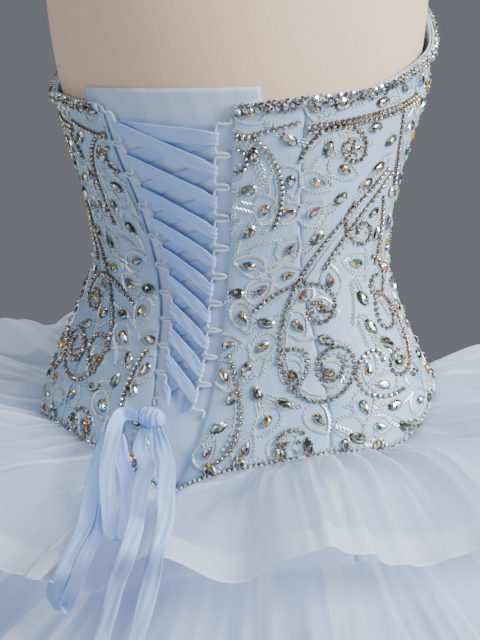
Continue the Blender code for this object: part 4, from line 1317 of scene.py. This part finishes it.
def make_modesty_panel():
    """The panel from the bodice's lower point to its hem, as wide as the gap and a little more."""
    v, u = np.meshgrid(np.linspace(0.0, 1.0, 80), np.linspace(-1.0, 1.0, 44), indexing="ij")
    height = np.full_like(u, -0.1)
    for _ in range(14):
        reach = angle_of(read(GAP_EDGE, height) + MODESTY_SPARE, height)
        angle = u * np.minimum(reach, MODESTY_TOP_ANGLE)
        low = bottom_edge(angle) + MODESTY_BOTTOM_GAP
        height = low + (MODESTY_TOP + EDGE_TILT * np.sin(np.radians(angle)) - low) * v
    under_top = MODESTY_TOP - height
    hem = HEM_DIP * np.exp(-((under_top - MODESTY_HEM) / HEM_LINE) ** 2)
    folds = 0.35 * MM * np.sin(angle * 0.55 + height * 60.0) * np.sin(height * 37.0 + angle * 0.2)
    outer = body(angle, height, MODESTY_OUT - hem + np.maximum(folds, -0.3 * MM))
    item = cloth_wall("modesty_panel_cloth", outer, body(angle, height, MODESTY_IN),
                      satin("modesty_satin", (0.47, 0.61, 0.86), (0.60, 0.745, 0.97), 0.6))
    wear(item, "ribbon_satin", "modesty_panel")
    declare(item, outer, "stretched", "form_torso")


make_modesty_panel()

# Lacing loops
# Satin covered cord, 2 mm thick, stitched along each back edge and bent out into ten loops, 19 mm
# tall at the bottom and 23 mm at the top. The ribbon runs through them.

# Heights of the loops' middles over the waist, and how much higher or lower each side's lie
LOOP_HEIGHTS = (0.122, 0.095, 0.068, 0.041, 0.016, -0.008, -0.031, -0.053, -0.075, -0.097)
LOOP_SHIFT = 0.0025
# How far a loop reaches out from its edge
LOOP_REACH = 0.0125
# Loops are short up to one height over the waist and grow to tall over the next stretch
LOOP_TALL, LOOP_SHORT = 0.0235, 0.0190
LOOP_GROWS_FROM, LOOP_GROWS_OVER = -0.020, 0.140
# How much a loop is cut off at its corners and spread at its feet, and its level
LOOP_CORNER, LOOP_FOOT = 0.0014, 0.0010
LOOP_LEVEL = 4.0 * MM
CORD_RADIUS = 1.1 * MM
CORD_STAND_OFF = 1.9 * MM
CORD_SIDES = 8
# How far the cord goes on above its first loop's middle and below its last one's
CORD_ABOVE, CORD_BELOW = 0.017, 0.016


def loop_heights(side):
    """The loops on the wearer's right lie a little lower than those on the left."""
    return [height - side * LOOP_SHIFT for height in LOOP_HEIGHTS]


def smooth_path(points, steps):
    """A Catmull-Rom curve through points, with the same number of steps between each pair."""
    points = np.asarray(points, float)
    padded = np.concatenate([points[:1], points, points[-1:]])
    t = (np.arange(steps) / steps)[:, None]
    runs = []
    for a, b, c, d in zip(padded, padded[1:], padded[2:], padded[3:]):
        runs.append(0.5 * (2 * b + (c - a) * t + (2 * a - 5 * b + 4 * c - d) * t ** 2
                           + (3 * b - a - 3 * c + d) * t ** 3))
    return np.concatenate(runs + [points[-1:]])


def cord_route(side):
    """Distance in from the back edge, height and level along one edge's loop cord."""
    heights = loop_heights(side)
    low_level = (PANEL_IN + PANEL_OUT) / 2
    route = [(CORD_STAND_OFF, heights[0] + CORD_ABOVE, low_level)]
    for height in heights:
        grown = min(max((height - LOOP_GROWS_FROM) / LOOP_GROWS_OVER, 0.0), 1.0)
        half = (LOOP_SHORT + (LOOP_TALL - LOOP_SHORT) * grown) / 2
        for way in (1, -1):
            bend = [
                (CORD_STAND_OFF, height + way * (half + LOOP_FOOT), low_level),
                (LOOP_REACH * 0.55, height + way * half, LOOP_LEVEL),
                (LOOP_REACH, height + way * (half - LOOP_CORNER), LOOP_LEVEL),
            ]
            route += bend[::way]
    route.append((CORD_STAND_OFF, heights[-1] - CORD_BELOW, low_level))
    return np.array(route)


def closed_tube_faces(rows, sides):
    """The faces of a tube of rings, closed by a flat face at each end."""
    faces = grid_faces(rows, sides, closed=True).tolist()
    return faces + [list(range(sides)), list(range((rows - 1) * sides, rows * sides))]


def cord_tube(name, centres, outs, material):
    """A closed tube along points, with its map in metres round and along it."""
    along = unit(np.gradient(centres, axis=0))
    side_way = unit(np.cross(along, outs))
    up_way = np.cross(side_way, along)
    turns = np.linspace(0.0, 2 * math.pi, CORD_SIDES + 1)[:-1]
    rings = centres[:, None] + CORD_RADIUS * (side_way[:, None] * np.cos(turns)[None, :, None]
                                              + up_way[:, None] * np.sin(turns)[None, :, None])
    length = np.concatenate([[0.0], np.cumsum(np.linalg.norm(np.diff(centres, axis=0), axis=-1))])
    uv = stack(turns[None, :] * CORD_RADIUS, length[:, None])
    item = mesh_object(name, rings, closed_tube_faces(len(centres), CORD_SIDES), material, uv)
    face_out(item)
    return item


cord_satin = satin("cord_satin", (0.56, 0.64, 0.74), (0.70, 0.76, 0.83), 0.4)
for side, word in SIDES:
    inset, height, level = smooth_path(cord_route(side), 5).T
    angle = angle_of(side * (read(GAP_EDGE, height) - inset), height)
    cord = cord_tube(f"lacing_loops_{word}", body(angle, height, level), outward(angle, height), cord_satin)
    wear(cord, "ribbon_satin", f"loop_cord_{word}")

# Lacing
# One length of 13 mm double faced satin ribbon, crossed over and under from loop to loop. It is
# pulled narrow where it turns round a loop and lies in soft slanting creases in between.

# The ribbon's half width, how much more of it a slanting strand shows, and the radius of its
# turn round a loop; then the levels of its strands and its thickness
RIBBON_HALF = 0.0065
SLANT_SHARE = 1.03
TURN_RADIUS = 2.0 * MM
LACE_UNDER, LACE_MIDDLE, LACE_OVER = 2.0 * MM, 4.0 * MM, 6.0 * MM
LACE_WALL = 0.5 * MM
# Where the ribbon's two ends reach under the knot: share of the way to the loops, drop
LACE_ENDS = {-1: (0.55, 0.0078), 1: (0.15, 0.0075)}
# The ribbon's darker and lighter blues are its painted shade and painted sheen.
ribbon_satin = satin("ribbon_satin", (0.28, 0.465, 0.92), (0.44, 0.64, 1.0), 0.8)


def declare_ribbon(item, points, held, *rests_on):
    """Works out the length and area that a stretch of the ribbon's grid gives; nothing more is done with
    them.
    """
    _, length, area = cut_size(points)


def strand(start_side, start, end, levels):
    """One ribbon strand between two loops: way across, way past the bars, height, level."""
    return [(start_side * (1.0 - 2.0 * share), 0.0, start + (end - start) * share, level)
            for share, level in levels]


def turn_round(side, height, start_level, end_level):
    """The ribbon's turn round a loop's bar."""
    middle = (start_level + end_level) / 2
    lean = TURN_RADIUS * 0.71
    sign = 1 if end_level > start_level else -1
    return [(side, side * lean, height, middle - sign * lean),
            (side, side * TURN_RADIUS, height, middle),
            (side, side * lean, height, middle + sign * lean)]


def lacing_route():
    """The whole lacing, from the last right loop up to the top bar and down to the last left."""
    shares = np.linspace(0.0, 1.0, 9)
    last = len(LOOP_HEIGHTS) - 1
    heights = {side: loop_heights(side) for side in (-1, 1)}
    down = {}
    for first_side in (-1, 1):
        route = []
        side, over = first_side, first_side < 0
        for k in range(last):
            level = LACE_OVER if over else LACE_UNDER
            route += strand(side, heights[side][k], heights[-side][k + 1], [(s, level) for s in shares])
            side, over = -side, not over
            after = LACE_OVER if over else LACE_UNDER
            route += turn_round(side, heights[side][k + 1], level, after)
        end_share, end_drop = LACE_ENDS[side]
        route.append((side, 0.0, heights[side][last], after))
        route.append((side * end_share, 0.0, heights[side][last] - end_drop, after))
        down[first_side] = route
    bar = strand(-1, heights[-1][0], heights[1][0],
                 ((0.0, LACE_UNDER), (0.08, LACE_UNDER), (0.25, LACE_MIDDLE), (0.5, LACE_MIDDLE),
                  (0.75, LACE_MIDDLE), (0.92, LACE_OVER), (1.0, LACE_OVER)))
    left_turn = turn_round(-1, heights[-1][0], LACE_OVER, LACE_UNDER)
    right_turn = turn_round(1, heights[1][0], LACE_OVER, LACE_UNDER)
    return list(reversed(down[-1])) + left_turn + bar + right_turn + down[1]


def make_lacing():
    """The ribbon follows the body; its width, creases and slant change along the way."""
    share, past, height, level = smooth_path(lacing_route(), 2).T[:, :, None]
    k = np.linspace(-1.0, 1.0, 11)[None, :]
    reach = read(GAP_EDGE, height) - LOOP_REACH
    run = np.gradient(share[:, 0]) * reach[:, 0] + np.gradient(past[:, 0])
    climb = np.gradient(level[:, 0])
    length = np.maximum(np.hypot(run, climb), 1e-9)
    run, climb = (run / length)[:, None], (climb / length)[:, None]
    at_loop = np.exp(-((1.0 - np.abs(share)) / 0.16) ** 2)
    width = RIBBON_HALF * SLANT_SHARE * (1.0 - 0.22 * at_loop)
    step = np.arange(len(share))[:, None]
    slant = share * 5.0 + 1.7 * np.sin(step * 0.061)
    crease = (0.14 * np.sin(k * 3.1 + slant) + 0.08 * np.sin(k * 6.3 - slant * 1.6 + 1.0)
              + 0.34 * at_loop * np.cos(k * 7.5 + step * 0.03)) * MM
    edge_height = height + k * width
    edge_reach = read(GAP_EDGE, edge_height) - LOOP_REACH

    def face(way):
        offset = crease + way * LACE_WALL / 2
        shifted = share * edge_reach + past - offset * climb
        return body(angle_of(shifted, edge_height), edge_height, level + offset * run)

    outer = face(1)
    item = cloth_wall("lacing_ribbon_cloth", outer, face(-1), ribbon_satin)
    wear(item, "ribbon_satin", "lacing_ribbon")
    declare_ribbon(item, outer, "stretched", "loop_cord_right", "loop_cord_left")


make_lacing()

# Bow
# The lacing's two ends, tied in a soft bow over the V of the bodice: two uneven loops and two
# long tails of the same ribbon, folded lengthwise in places, that hang over the first ruffle.

# The skirt's bell, which the strands hang on: how far it starts under the bodice, the reach and
# drop of its shoulder, and the radius and height of its side and of its hem
SKIRT_DROP = 4.2 * MM
SHOULDER_REACH, SHOULDER_DROP = 0.200, 0.030
SIDE_RADIUS, SIDE_Z = 0.590, 0.560
HEM_RADIUS, HEM_Z = 0.660, 0.010
# The knot's middle, by angle, height over the waist and level, and its half sizes
KNOT_ANGLE, KNOT_HEIGHT, KNOT_LEVEL = -6.0, -0.118, 0.0116
KNOT_SIZE = (0.0120, 0.0085, 0.0074)
# Points between each two rows of a strand
BOW_STEPS = 9
# What a row lies over, its angle, its height over the waist or its way along the skirt, its
# level, and the lean of the ribbon's width from level to upright
BOW_STRANDS = {
    "bow_loop_short": (
        ("body", -9.0, -0.1165, 0.0184, 80.0), ("body", -13.5, -0.1170, 0.0225, 62.0),
        ("skirt", -11.5, 0.050, 0.0470, 0.0), ("skirt", -7.5, 0.090, 0.0550, 0.0),
        ("skirt", -2.5, 0.130, 0.0670, 0.0), ("skirt", 9.0, 0.173, 0.0645, 0.0),
        ("skirt", 11.0, 0.200, 0.0700, 0.0), ("skirt", 13.0, 0.213, 0.0745, 0.0),
        ("skirt", 13.0, 0.200, 0.0740, 0.0), ("skirt", 10.0, 0.154, 0.0570, 0.0),
        ("skirt", -2.8, 0.092, 0.0500, 0.0), ("skirt", -10.4, 0.040, 0.0300, 0.0),
        ("body", -12.0, -0.1320, 0.0240, 5.0),
    ),
    "bow_loop_long": (
        ("body", -9.6, -0.1190, 0.0105, 78.0), ("body", -15.5, -0.1220, 0.0108, 62.0),
        ("skirt", -13.0, 0.052, 0.0385, 0.0), ("skirt", -9.5, 0.092, 0.0430, 0.0),
        ("skirt", 2.0, 0.128, 0.0575, 0.0), ("skirt", -2.0, 0.171, 0.0645, 0.0),
        ("skirt", 5.0, 0.203, 0.0620, 0.0), ("skirt", 5.5, 0.232, 0.0665, 0.0),
        ("skirt", 4.0, 0.244, 0.0560, 0.0), ("skirt", 4.8, 0.250, 0.0470, 0.0),
        ("skirt", 6.6, 0.241, 0.0570, 0.0), ("skirt", 8.0, 0.219, 0.0660, 0.0),
        ("skirt", 6.5, 0.180, 0.0550, 0.0), ("skirt", 0.0, 0.131, 0.0540, 0.0),
    ),
    "ribbon_tail_left": (
        ("body", -7.6, -0.1258, 0.0118, 0.0), ("body", -6.8, -0.1410, 0.0180, 0.0),
        ("skirt", -2.6, 0.061, 0.0530, 0.0), ("skirt", 11.0, 0.134, 0.0570, 0.0),
        ("skirt", 15.0, 0.202, 0.0845, 0.0), ("skirt", 16.0, 0.240, 0.0985, 0.0),
        ("skirt", 14.5, 0.257, 0.0845, 0.0), ("skirt", 13.5, 0.275, 0.0715, 0.0),
        ("skirt", 12.5, 0.296, 0.0610, 0.0), ("skirt", 12.0, 0.342, 0.0545, 0.0),
    ),
    "ribbon_tail_right": (
        ("body", -3.7, -0.1249, 0.0118, 0.0), ("body", 0.4, -0.1410, 0.0185, 0.0),
        ("skirt", 13.5, 0.100, 0.0560, 0.0), ("skirt", 18.0, 0.175, 0.0860, 0.0),
        ("skirt", 19.0, 0.207, 0.0890, 0.0), ("skirt", 19.0, 0.236, 0.0935, 0.0),
        ("skirt", 18.0, 0.255, 0.0785, 0.0), ("skirt", 17.3, 0.275, 0.0695, 0.0),
        ("skirt", 16.5, 0.297, 0.0610, 0.0), ("skirt", 16.0, 0.340, 0.0565, 0.0),
    ),
}


def skirt(angle, s):
    """Points on the skirt surface; s runs from 0 under the bodice to 1 at the hem."""
    angle, s = np.broadcast_arrays(np.asarray(angle, float), np.asarray(s, float))
    height = bottom_edge(angle) - SKIRT_DROP
    start = body(angle, height, 0.6 * MM)
    turn = np.radians(angle)
    shoulder = start + outward(angle, height) * SHOULDER_REACH - np.array([0.0, 0.0, SHOULDER_DROP])
    side = stack(-np.sin(turn) * SIDE_RADIUS, np.cos(turn) * SIDE_RADIUS, SIDE_Z)
    hem = stack(-np.sin(turn) * HEM_RADIUS, np.cos(turn) * HEM_RADIUS, HEM_Z)
    s = s[..., None]
    r = 1.0 - s
    return start * r ** 3 + shoulder * 3 * r * r * s + side * 3 * r * s * s + hem * s ** 3


def surface_normal(place, angle, s):
    """The outward normal of a surface given as place(angle, s)."""
    low, high = np.maximum(s - 0.0005, 0.0), np.minimum(s + 0.0005, 1.0)
    along = place(angle, high) - place(angle, low)
    across = place(angle + 0.05, s) - place(angle - 0.05, s)
    return unit(np.cross(along, across))


def bow_path(rows, steps):
    """Centre points of one bow strand and the directions of its width and of its face."""
    points, ways = [], []
    for kind, angle, way, level, lean in rows:
        on_body = kind == "body"
        if on_body:
            points.append(body(angle, way, level))
        else:
            normal = surface_normal(skirt, np.array(angle), np.array(way))
            points.append(skirt(angle, way) + normal * level)
        out = outward(np.array(angle), way if on_body else bottom_edge(angle))
        level_way = np.cross(out, (0.0, 0.0, 1.0))
        turn = math.radians(lean)
        ways.append(level_way * math.cos(turn) + np.array([0.0, 0.0, math.sin(turn)]))
    centres = smooth_path(points, steps)
    along = unit(np.gradient(centres, axis=0))
    ways = smooth_path(ways, steps)
    widths = unit(ways - along * (ways * along).sum(axis=1, keepdims=True))
    return centres, widths, np.cross(along, widths)


def make_bow_strand(name, rows, bend, narrow_end):
    """A ribbon whose section bows and folds unevenly on its way."""
    centres, widths, outs = bow_path(rows, BOW_STEPS)
    k = np.linspace(-1.0, 1.0, 15)[None, :]
    t = np.linspace(0.0, 1.0, len(centres))[:, None]
    pinch = 1.0 - 0.32 * np.exp(-(t / 0.05) ** 2) - 0.42 * narrow_end * np.exp(-((1.0 - t) / 0.05) ** 2)
    half = RIBBON_HALF * pinch * (1.0 - 0.06 * np.sin(t * 17.0 + bend))
    bow = 0.5 * MM * bend * np.cos(t * 7.0 + bend) * (k ** 2 - 0.4)
    fold = 0.32 * MM * np.sin(k * 4.2 + t * 9.0 + bend * 2.0) * (0.35 + 0.65 * np.sin(t * 5.0 + bend) ** 2)
    fold += 0.5 * MM * np.sin(k * 9.0 + bend) * (1.0 - pinch) * 2.0
    fold += 0.18 * MM * np.sin(k * 7.0 - t * 21.0)
    rise = bow + fold
    flat = centres[:, None] + widths[:, None] * (k * half)[..., None]
    outer = flat + outs[:, None] * (rise + LACE_WALL / 2)[..., None]
    inner = flat + outs[:, None] * (rise - LACE_WALL / 2)[..., None]
    item = cloth_wall(f"{name}_cloth", outer, inner, ribbon_satin)
    wear(item, "ribbon_satin", name)
    declare_ribbon(item, outer, "hung", "bow_knot")


def make_knot():
    """Three ribbon wraps round the bow's middle, drawn tight and creased across."""
    centre = body(KNOT_ANGLE, KNOT_HEIGHT, KNOT_LEVEL)
    out = outward(np.array(KNOT_ANGLE), KNOT_HEIGHT)
    side_way = np.cross((0.0, 0.0, 1.0), out)
    lean = np.linspace(0.0, math.pi, 40)[1:-1, None]
    turn = np.linspace(0.0, 2 * math.pi, 49)[None, :-1]
    across, size = np.cos(lean), np.sin(lean) ** 0.6
    swirl = turn + 0.9 * across
    crease = (1.0 + 0.07 * np.sin(across * 16.0 + 2.0 * np.sin(swirl))
              + 0.05 * np.sin(3.0 * swirl + across * 5.0))
    rows = (centre + side_way * (across * KNOT_SIZE[0])[..., None]
            + np.array([0.0, 0.0, 1.0]) * (np.cos(turn) * size * crease * KNOT_SIZE[1])[..., None]
            + out * (np.sin(turn) * size * crease * KNOT_SIZE[2])[..., None])
    count, sides = rows.shape[:2]
    uv = stack(np.broadcast_to(turn, (count, sides)) * 0.008, np.broadcast_to(lean, (count, sides)) * 0.008)
    item = mesh_object("bow_knot_cloth", rows, closed_tube_faces(count, sides), ribbon_satin, uv)
    face_out(item)
    wear(item, "ribbon_satin", "bow_knot")


make_knot()
for (name, rows), bend in zip(BOW_STRANDS.items(), (1.0, -0.8, 0.7, -1.1)):
    make_bow_strand(name, rows, bend, 1.0 if name.startswith("bow") else 0.0)

# Underskirt
# Four gores of pale blue satin that carry the ruffles and give the skirt its bell shape. They
# show between the tiers and under the hem.
UNDERSKIRT_WALL = 1.2 * MM
# Quarters of the skirt and the angle at which each begins
QUARTERS = (("back", -45.0), ("right", 45.0), ("front", 135.0), ("left", 225.0))


def quarter(place, first_angle, columns, rows, lap=0.0, crowd=1.0):
    """A quarter of a round cloth piece as a grid, half a seam gap short or a lap long at both sides.

    Where crowd is over 1, the rows lie closer together towards the hem.
    """
    t = 1.0 - np.linspace(1.0, 0.0, rows)[:, None] ** crowd
    reach = np.linalg.norm(place(np.array([[first_angle]]), t)[..., :2], axis=-1)
    trim = np.degrees((SEAM / 2 - lap) / reach)
    angle = first_angle + trim + (90.0 - 2 * trim) * np.linspace(0.0, 1.0, columns)[None, :]
    return angle, np.broadcast_to(t, angle.shape)


lining_satin = satin("underskirt_satin", (0.45, 0.56, 0.77), (0.53, 0.64, 0.83), 1.4, 0.42)
for word, first_angle in QUARTERS:
    angle, s = quarter(skirt, first_angle, 64, 60)
    normal = surface_normal(skirt, angle, s)
    outer = skirt(angle, s)
    item = cloth_wall(f"underskirt_{word}_cloth", outer, outer - normal * UNDERSKIRT_WALL, lining_satin)
    wear(item, "underskirt_satin", f"underskirt_{word}")
    declare(item, outer, "gathered", "form_torso")

# Ruffles
# Four tiers of crisp pale blue organza, gathered at the top and let out in deep uneven waves,
# with a stiffened hem band about 25 mm deep. Fine gathers and doubled wedges fan out from each
# root, and the first tier is puffed up beside the bow.
RUFFLE_WALL = 1.4 * MM
# A root's level over the skirt, how much more the tiers stand out at the sides, and how far the
# cloth of two quarters laps
ROOT_LIFT = 1.0 * MM
SIDE_PUFF = 0.35
QUARTER_LAP = 0.5 * MM
# Ruffle tiers: number, start and end along the skirt curve, waves all round, lift off the
# skirt at the hem, wave depth at the hem
TIERS = (
    (1, 0.000, 0.235, 18, 0.044, 0.046),
    (2, 0.190, 0.450, 20, 0.034, 0.050),
    (3, 0.400, 0.700, 20, 0.036, 0.050),
    (4, 0.650, 0.990, 22, 0.036, 0.044),
)
# The hem band's depth, and the widths of its soft upper edge, its stitching and its fold
HEM_BAND = 0.025
HEM_BLUR, STITCH_WIDTH, HEM_FOLD = 0.0006, 0.0011, 0.0015
# Fine gathers, broad folds and doubled wedges round the skirt, and how deep or high each is
FINE_COUNT, BROAD_COUNT, WEDGE_COUNT = 118, 40, 31
FINE_DEPTH, BROAD_DEPTH, WEDGE_RISE = 7.0 * MM, 13.0 * MM, 2.0 * MM
# A ripple along the hem, the first tier's puff, and the zone of the bow, which stays low: its
# middle, its half width, and over how many degrees the puff grows beside it
RIPPLE = 1.6 * MM
PUFF_RISE = 13.0 * MM
BOW_ZONE_MIDDLE, BOW_ZONE_HALF, BOW_ZONE_BLEND = 3.5, 19.0, 9.0
# Folds have their full depth where a tier lies this far off the skirt
FULL_ROOM = 0.030


def organza():
    """Crisp sheer organza: cool white and blue, denser where the hem is doubled, with painted light on its
    folds: paler and denser on the crests, bluer and clearer in the valleys and creases as painted shade.
    """
    material, look, shader = new_material("organza")
    where = look.place()
    hem = look.mark("hem")
    gather = look.mark("gather")
    weave = look.noise(look.flat_place(), 1.0, 2.0, stretch=(1500.0, 1500.0, 1.0))
    cloud = look.noise(where, 6.0, 3.0)
    doubled = look.mark("doubled")
    blue = look.tint(cloud, (0.49, 0.635, 0.93), (0.59, 0.73, 0.99))
    # Painted light on the folds: the crests are painted paler, and the valleys and creases stay bluer as
    # painted shade.
    pale = look.tint(gather, blue, (0.80, 0.86, 0.98))
    dense = look.tint(doubled * 0.8, pale, (0.88, 0.92, 0.99))
    set_shader(look, shader, Roughness=0.55, Sheen_Weight=0.5, Sheen_Roughness=0.4,
               Specular_IOR_Level=0.35,
               Base_Color=look.tint(hem * 0.5, dense, (0.88, 0.91, 1.0)),
               Alpha=0.44 + hem * 0.24 + gather * 0.18 + doubled * 0.24,
               Normal=look.bump(weave, 0.15 * MM, 0.4))
    through = look.node("ShaderNodeBsdfTranslucent", {}, {"Color": (0.74, 0.80, 0.92, 1.0)})
    mixed = look.node("ShaderNodeMixShader", {}, {0: 0.30, 1: Link(look.tree, shader.outputs[0]), 2: through})
    look.tree.links.new(mixed.socket, look.tree.nodes["Material Output"].inputs["Surface"])
    return material


organza_cloth = organza()


def wave(angle, count):
    """Uneven ruffle waves between 0 and 1, whole round the skirt."""
    turn = np.radians(angle)
    phase = count * turn + 0.55 * np.sin(3 * turn + 1.0) + 0.40 * np.sin(5 * turn + count)
    height = 0.80 + 0.20 * np.sin(7 * turn + 2.0 * count)
    return height * 0.5 * (1.0 + np.cos(phase))


def ridge(phase):
    """A row of folds with narrow crests at 1 and wide soft valleys at 0."""
    return (0.5 + 0.5 * np.cos(phase)) ** 1.8


# Larger creases pressed into the organza: angle, where they start and end on the way to
# the hem, their width in degrees, their depth, and how many degrees they drift on their way
CREASES = (
    (-40.0, 0.05, 0.95, 2.1, 9.0, 4.0), (-31.0, 0.20, 0.90, 1.4, 6.0, -3.0),
    (-24.0, 0.02, 0.70, 2.4, 8.0, 5.0), (-12.0, 0.30, 1.00, 1.6, 5.0, -2.0),
    (3.0, 0.02, 0.80, 2.0, 6.0, 3.0), (24.0, 0.04, 0.92, 2.6, 10.0, -4.0),
    (29.0, 0.02, 0.60, 1.3, 7.0, -3.0), (35.0, 0.15, 1.00, 1.8, 8.0, 3.0),
    (43.0, 0.03, 0.75, 2.2, 7.0, -5.0), (52.0, 0.25, 1.00, 1.5, 8.0, 2.5),
    (58.0, 0.02, 0.85, 2.5, 9.0, -3.0), (67.0, 0.10, 0.95, 1.7, 7.0, 4.0),
    (79.0, 0.02, 0.80, 2.3, 9.0, -4.0), (90.0, 0.20, 1.00, 1.6, 6.0, 3.0),
    (101.0, 0.03, 0.70, 2.0, 8.0, -3.0), (113.0, 0.15, 0.95, 2.4, 9.0, 4.0),
    (127.0, 0.02, 0.85, 1.5, 7.0, -2.0), (139.0, 0.25, 1.00, 2.2, 8.0, 5.0),
    (150.0, 0.03, 0.75, 1.8, 7.0, -4.0), (163.0, 0.10, 0.90, 2.5, 9.0, 3.0),
    (176.0, 0.20, 1.00, 1.4, 6.0, -3.0), (188.0, 0.02, 0.80, 2.1, 9.0, 4.0),
    (201.0, 0.15, 0.95, 1.7, 7.0, -4.0), (212.0, 0.03, 0.70, 2.3, 8.0, 3.0),
    (226.0, 0.25, 1.00, 1.9, 9.0, -3.0), (239.0, 0.02, 0.85, 1.5, 6.0, 5.0),
    (252.0, 0.12, 0.95, 2.4, 8.0, -3.0), (266.0, 0.03, 0.75, 1.8, 7.0, 4.0),
    (281.0, 0.20, 1.00, 2.2, 9.0, -4.0), (297.0, 0.05, 0.85, 1.6, 7.0, 3.0),
)


def pressed(angle, t, number):
    """How deep the larger creases lie at a place; each tier takes them turned round by its number."""
    depth = np.zeros_like(angle)
    for middle, start, end, width, deep, drift in CREASES:
        across = wrap(angle - middle - 47.0 * (number - 1) - drift * t) / width
        along = np.clip((t - start) / 0.12, 0.0, 1.0) * np.clip((end + 0.02 - t) / 0.25, 0.0, 1.0)
        depth += deep * MM * along * np.exp(-across ** 2) * (1.0 - 0.55 * np.exp(-(across + 0.7) ** 2 / 0.2))
    return depth


def gathers(angle, t, number):
    """Fine and broad uneven folds, 0 in the valleys and 1 on the crests, that fan out from the root."""
    turn = np.radians(angle)
    drift = 0.8 * np.sin(4 * turn + number) + 0.6 * np.sin(9 * turn + 2.0 * number)
    fine = ridge(FINE_COUNT * turn + 3.4 * drift + 1.4 * t) * (0.55 + 0.45 * np.sin(13 * turn + number))
    lean = 2.6 * np.sin(5 * turn + 1.7 * number) - 1.2
    broad = ridge(BROAD_COUNT * turn - 4.0 * drift + lean * t + number) * (0.65 + 0.35 * np.cos(8 * turn))
    return fine, broad


def folded_over(angle, t, number):
    """Where the organza lies double in long leaning wedges: 1 on them, with crisp edges."""
    turn = np.radians(angle)
    lean = 1.1 * np.sin(3 * turn + number) + 0.5 * np.sin(8 * turn - 2.0 * number)
    phase = WEDGE_COUNT * turn / (2 * np.pi) + 0.45 * np.sin(5 * turn + number) + lean * 0.45 * t
    share = np.mod(phase, 1.0)
    width = (0.26 + 0.14 * np.sin(2.0 * np.floor(phase) + number)) * (1.05 - t)
    rising = np.clip(share / 0.035, 0.0, 1.0)
    return rising * np.clip((width - share) / 0.06, 0.0, 1.0)


def lifted(t):
    """How much of its lift off the skirt a tier has at a share of the way to its hem."""
    return np.sin(np.minimum(t * 1.25, 1.0) * math.pi / 2) ** 1.6


def puffed(angle, t):
    """How far the first tier is puffed out, away from the bow."""
    uneven = 0.75 + 0.25 * np.sin(np.radians(11 * angle)) * np.sin(np.radians(4 * angle + 50.0))
    rise = PUFF_RISE * np.sin(np.pi * np.minimum(t / 0.7, 1.0)) ** 0.8 * uneven
    from_bow = np.abs(wrap(angle - BOW_ZONE_MIDDLE)) - BOW_ZONE_HALF
    return rise * np.clip(from_bow / BOW_ZONE_BLEND, 0.0, 1.0)


def hem_mark(to_hem):
    """The hem's marking by the distance to its edge: a band, with a stitch line and a folded edge."""
    band = 1.0 / (1.0 + np.exp((to_hem - HEM_BAND) / HEM_BLUR))
    stitches = 0.9 * np.exp(-((to_hem - HEM_BAND) / STITCH_WIDTH) ** 2)
    return np.minimum(band + stitches + 0.5 * np.exp(-(to_hem / HEM_FOLD) ** 2), 1.6)


def ruffle_place(tier):
    """The surface of one ruffle tier, as a function of the angle and the way to its hem."""
    _, start, end, count, lift, depth = tier

    def place(angle, t):
        t = np.asarray(t, float)
        s = start + (end - start) * t
        stand = lift * lifted(t) * (1.0 + SIDE_PUFF * np.sin(np.radians(angle)) ** 2)
        crest = depth * t ** 1.3 * wave(angle, count)
        rise = ROOT_LIFT + RUFFLE_WALL / 2 + stand + crest
        return skirt(angle, s) + surface_normal(skirt, angle, s) * rise[..., None]

    return place


def make_ruffle(tier, word, first_angle):
    """One quarter of a tier: its waves, with the gathers, creases, wedges and puff worked in."""
    number, _, _, _, lift, depth = tier
    place = ruffle_place(tier)
    columns, rows, crowd = (300, 44, 1.15) if number == 1 else (240, 36, 1.35)
    angle, t = quarter(place, first_angle, columns, rows, QUARTER_LAP, crowd)
    turn = np.radians(angle)
    fine, broad = gathers(angle, t, number)
    creases = pressed(angle, t, number)
    doubled = folded_over(angle, t, number)
    swell = puffed(angle, t) if number == 1 else np.zeros_like(angle)
    room = lift * lifted(t) + depth * t ** 1.3 * 0.4
    valley = (FINE_DEPTH * (1.0 - fine) * (1.0 - t) ** 1.3
              + BROAD_DEPTH * (1.0 - broad) * np.sqrt(np.minimum(t / 0.2, 1.0)) * (1.0 - 0.6 * t))
    valley = (valley + creases - WEDGE_RISE * doubled) * np.minimum((room + swell) / FULL_ROOM, 1.0)
    ripple = RIPPLE * t ** 3 * np.sin(37 * turn + number) * np.sin(11 * turn + 2.0)
    points = place(angle, t) + surface_normal(place, angle, t) * (ripple + swell - valley)[..., None]
    cut = cut_map(points)
    item = mesh_object(f"ruffle_{number}_{word}_cloth", points, grid_faces(rows, columns, flip=True),
                       organza_cloth, cut)
    # Painted light on the folds: high on the crests of the fine and broad folds, lower in their valleys and
    # lowest in the pressed creases, which the organza shows as painted shade.
    gather = np.clip(0.2 + 0.5 * fine * (1.0 - t) + 0.5 * broad - 0.05 * creases / MM, 0.0, 1.0)
    marks = {"hem": hem_mark(cut[-1:, :, 1] - cut[..., 1]), "gather": gather, "doubled": doubled}
    for name, values in marks.items():
        item.data.attributes.new(name, "FLOAT", "POINT").data.foreach_set("value", values.ravel())
    wear(item, "organza", f"ruffle_{number}_{word}")
    declare(item, points, "gathered", f"underskirt_{word}")


for tier in TIERS:
    for word, first_angle in QUARTERS:
        make_ruffle(tier, word, first_angle)
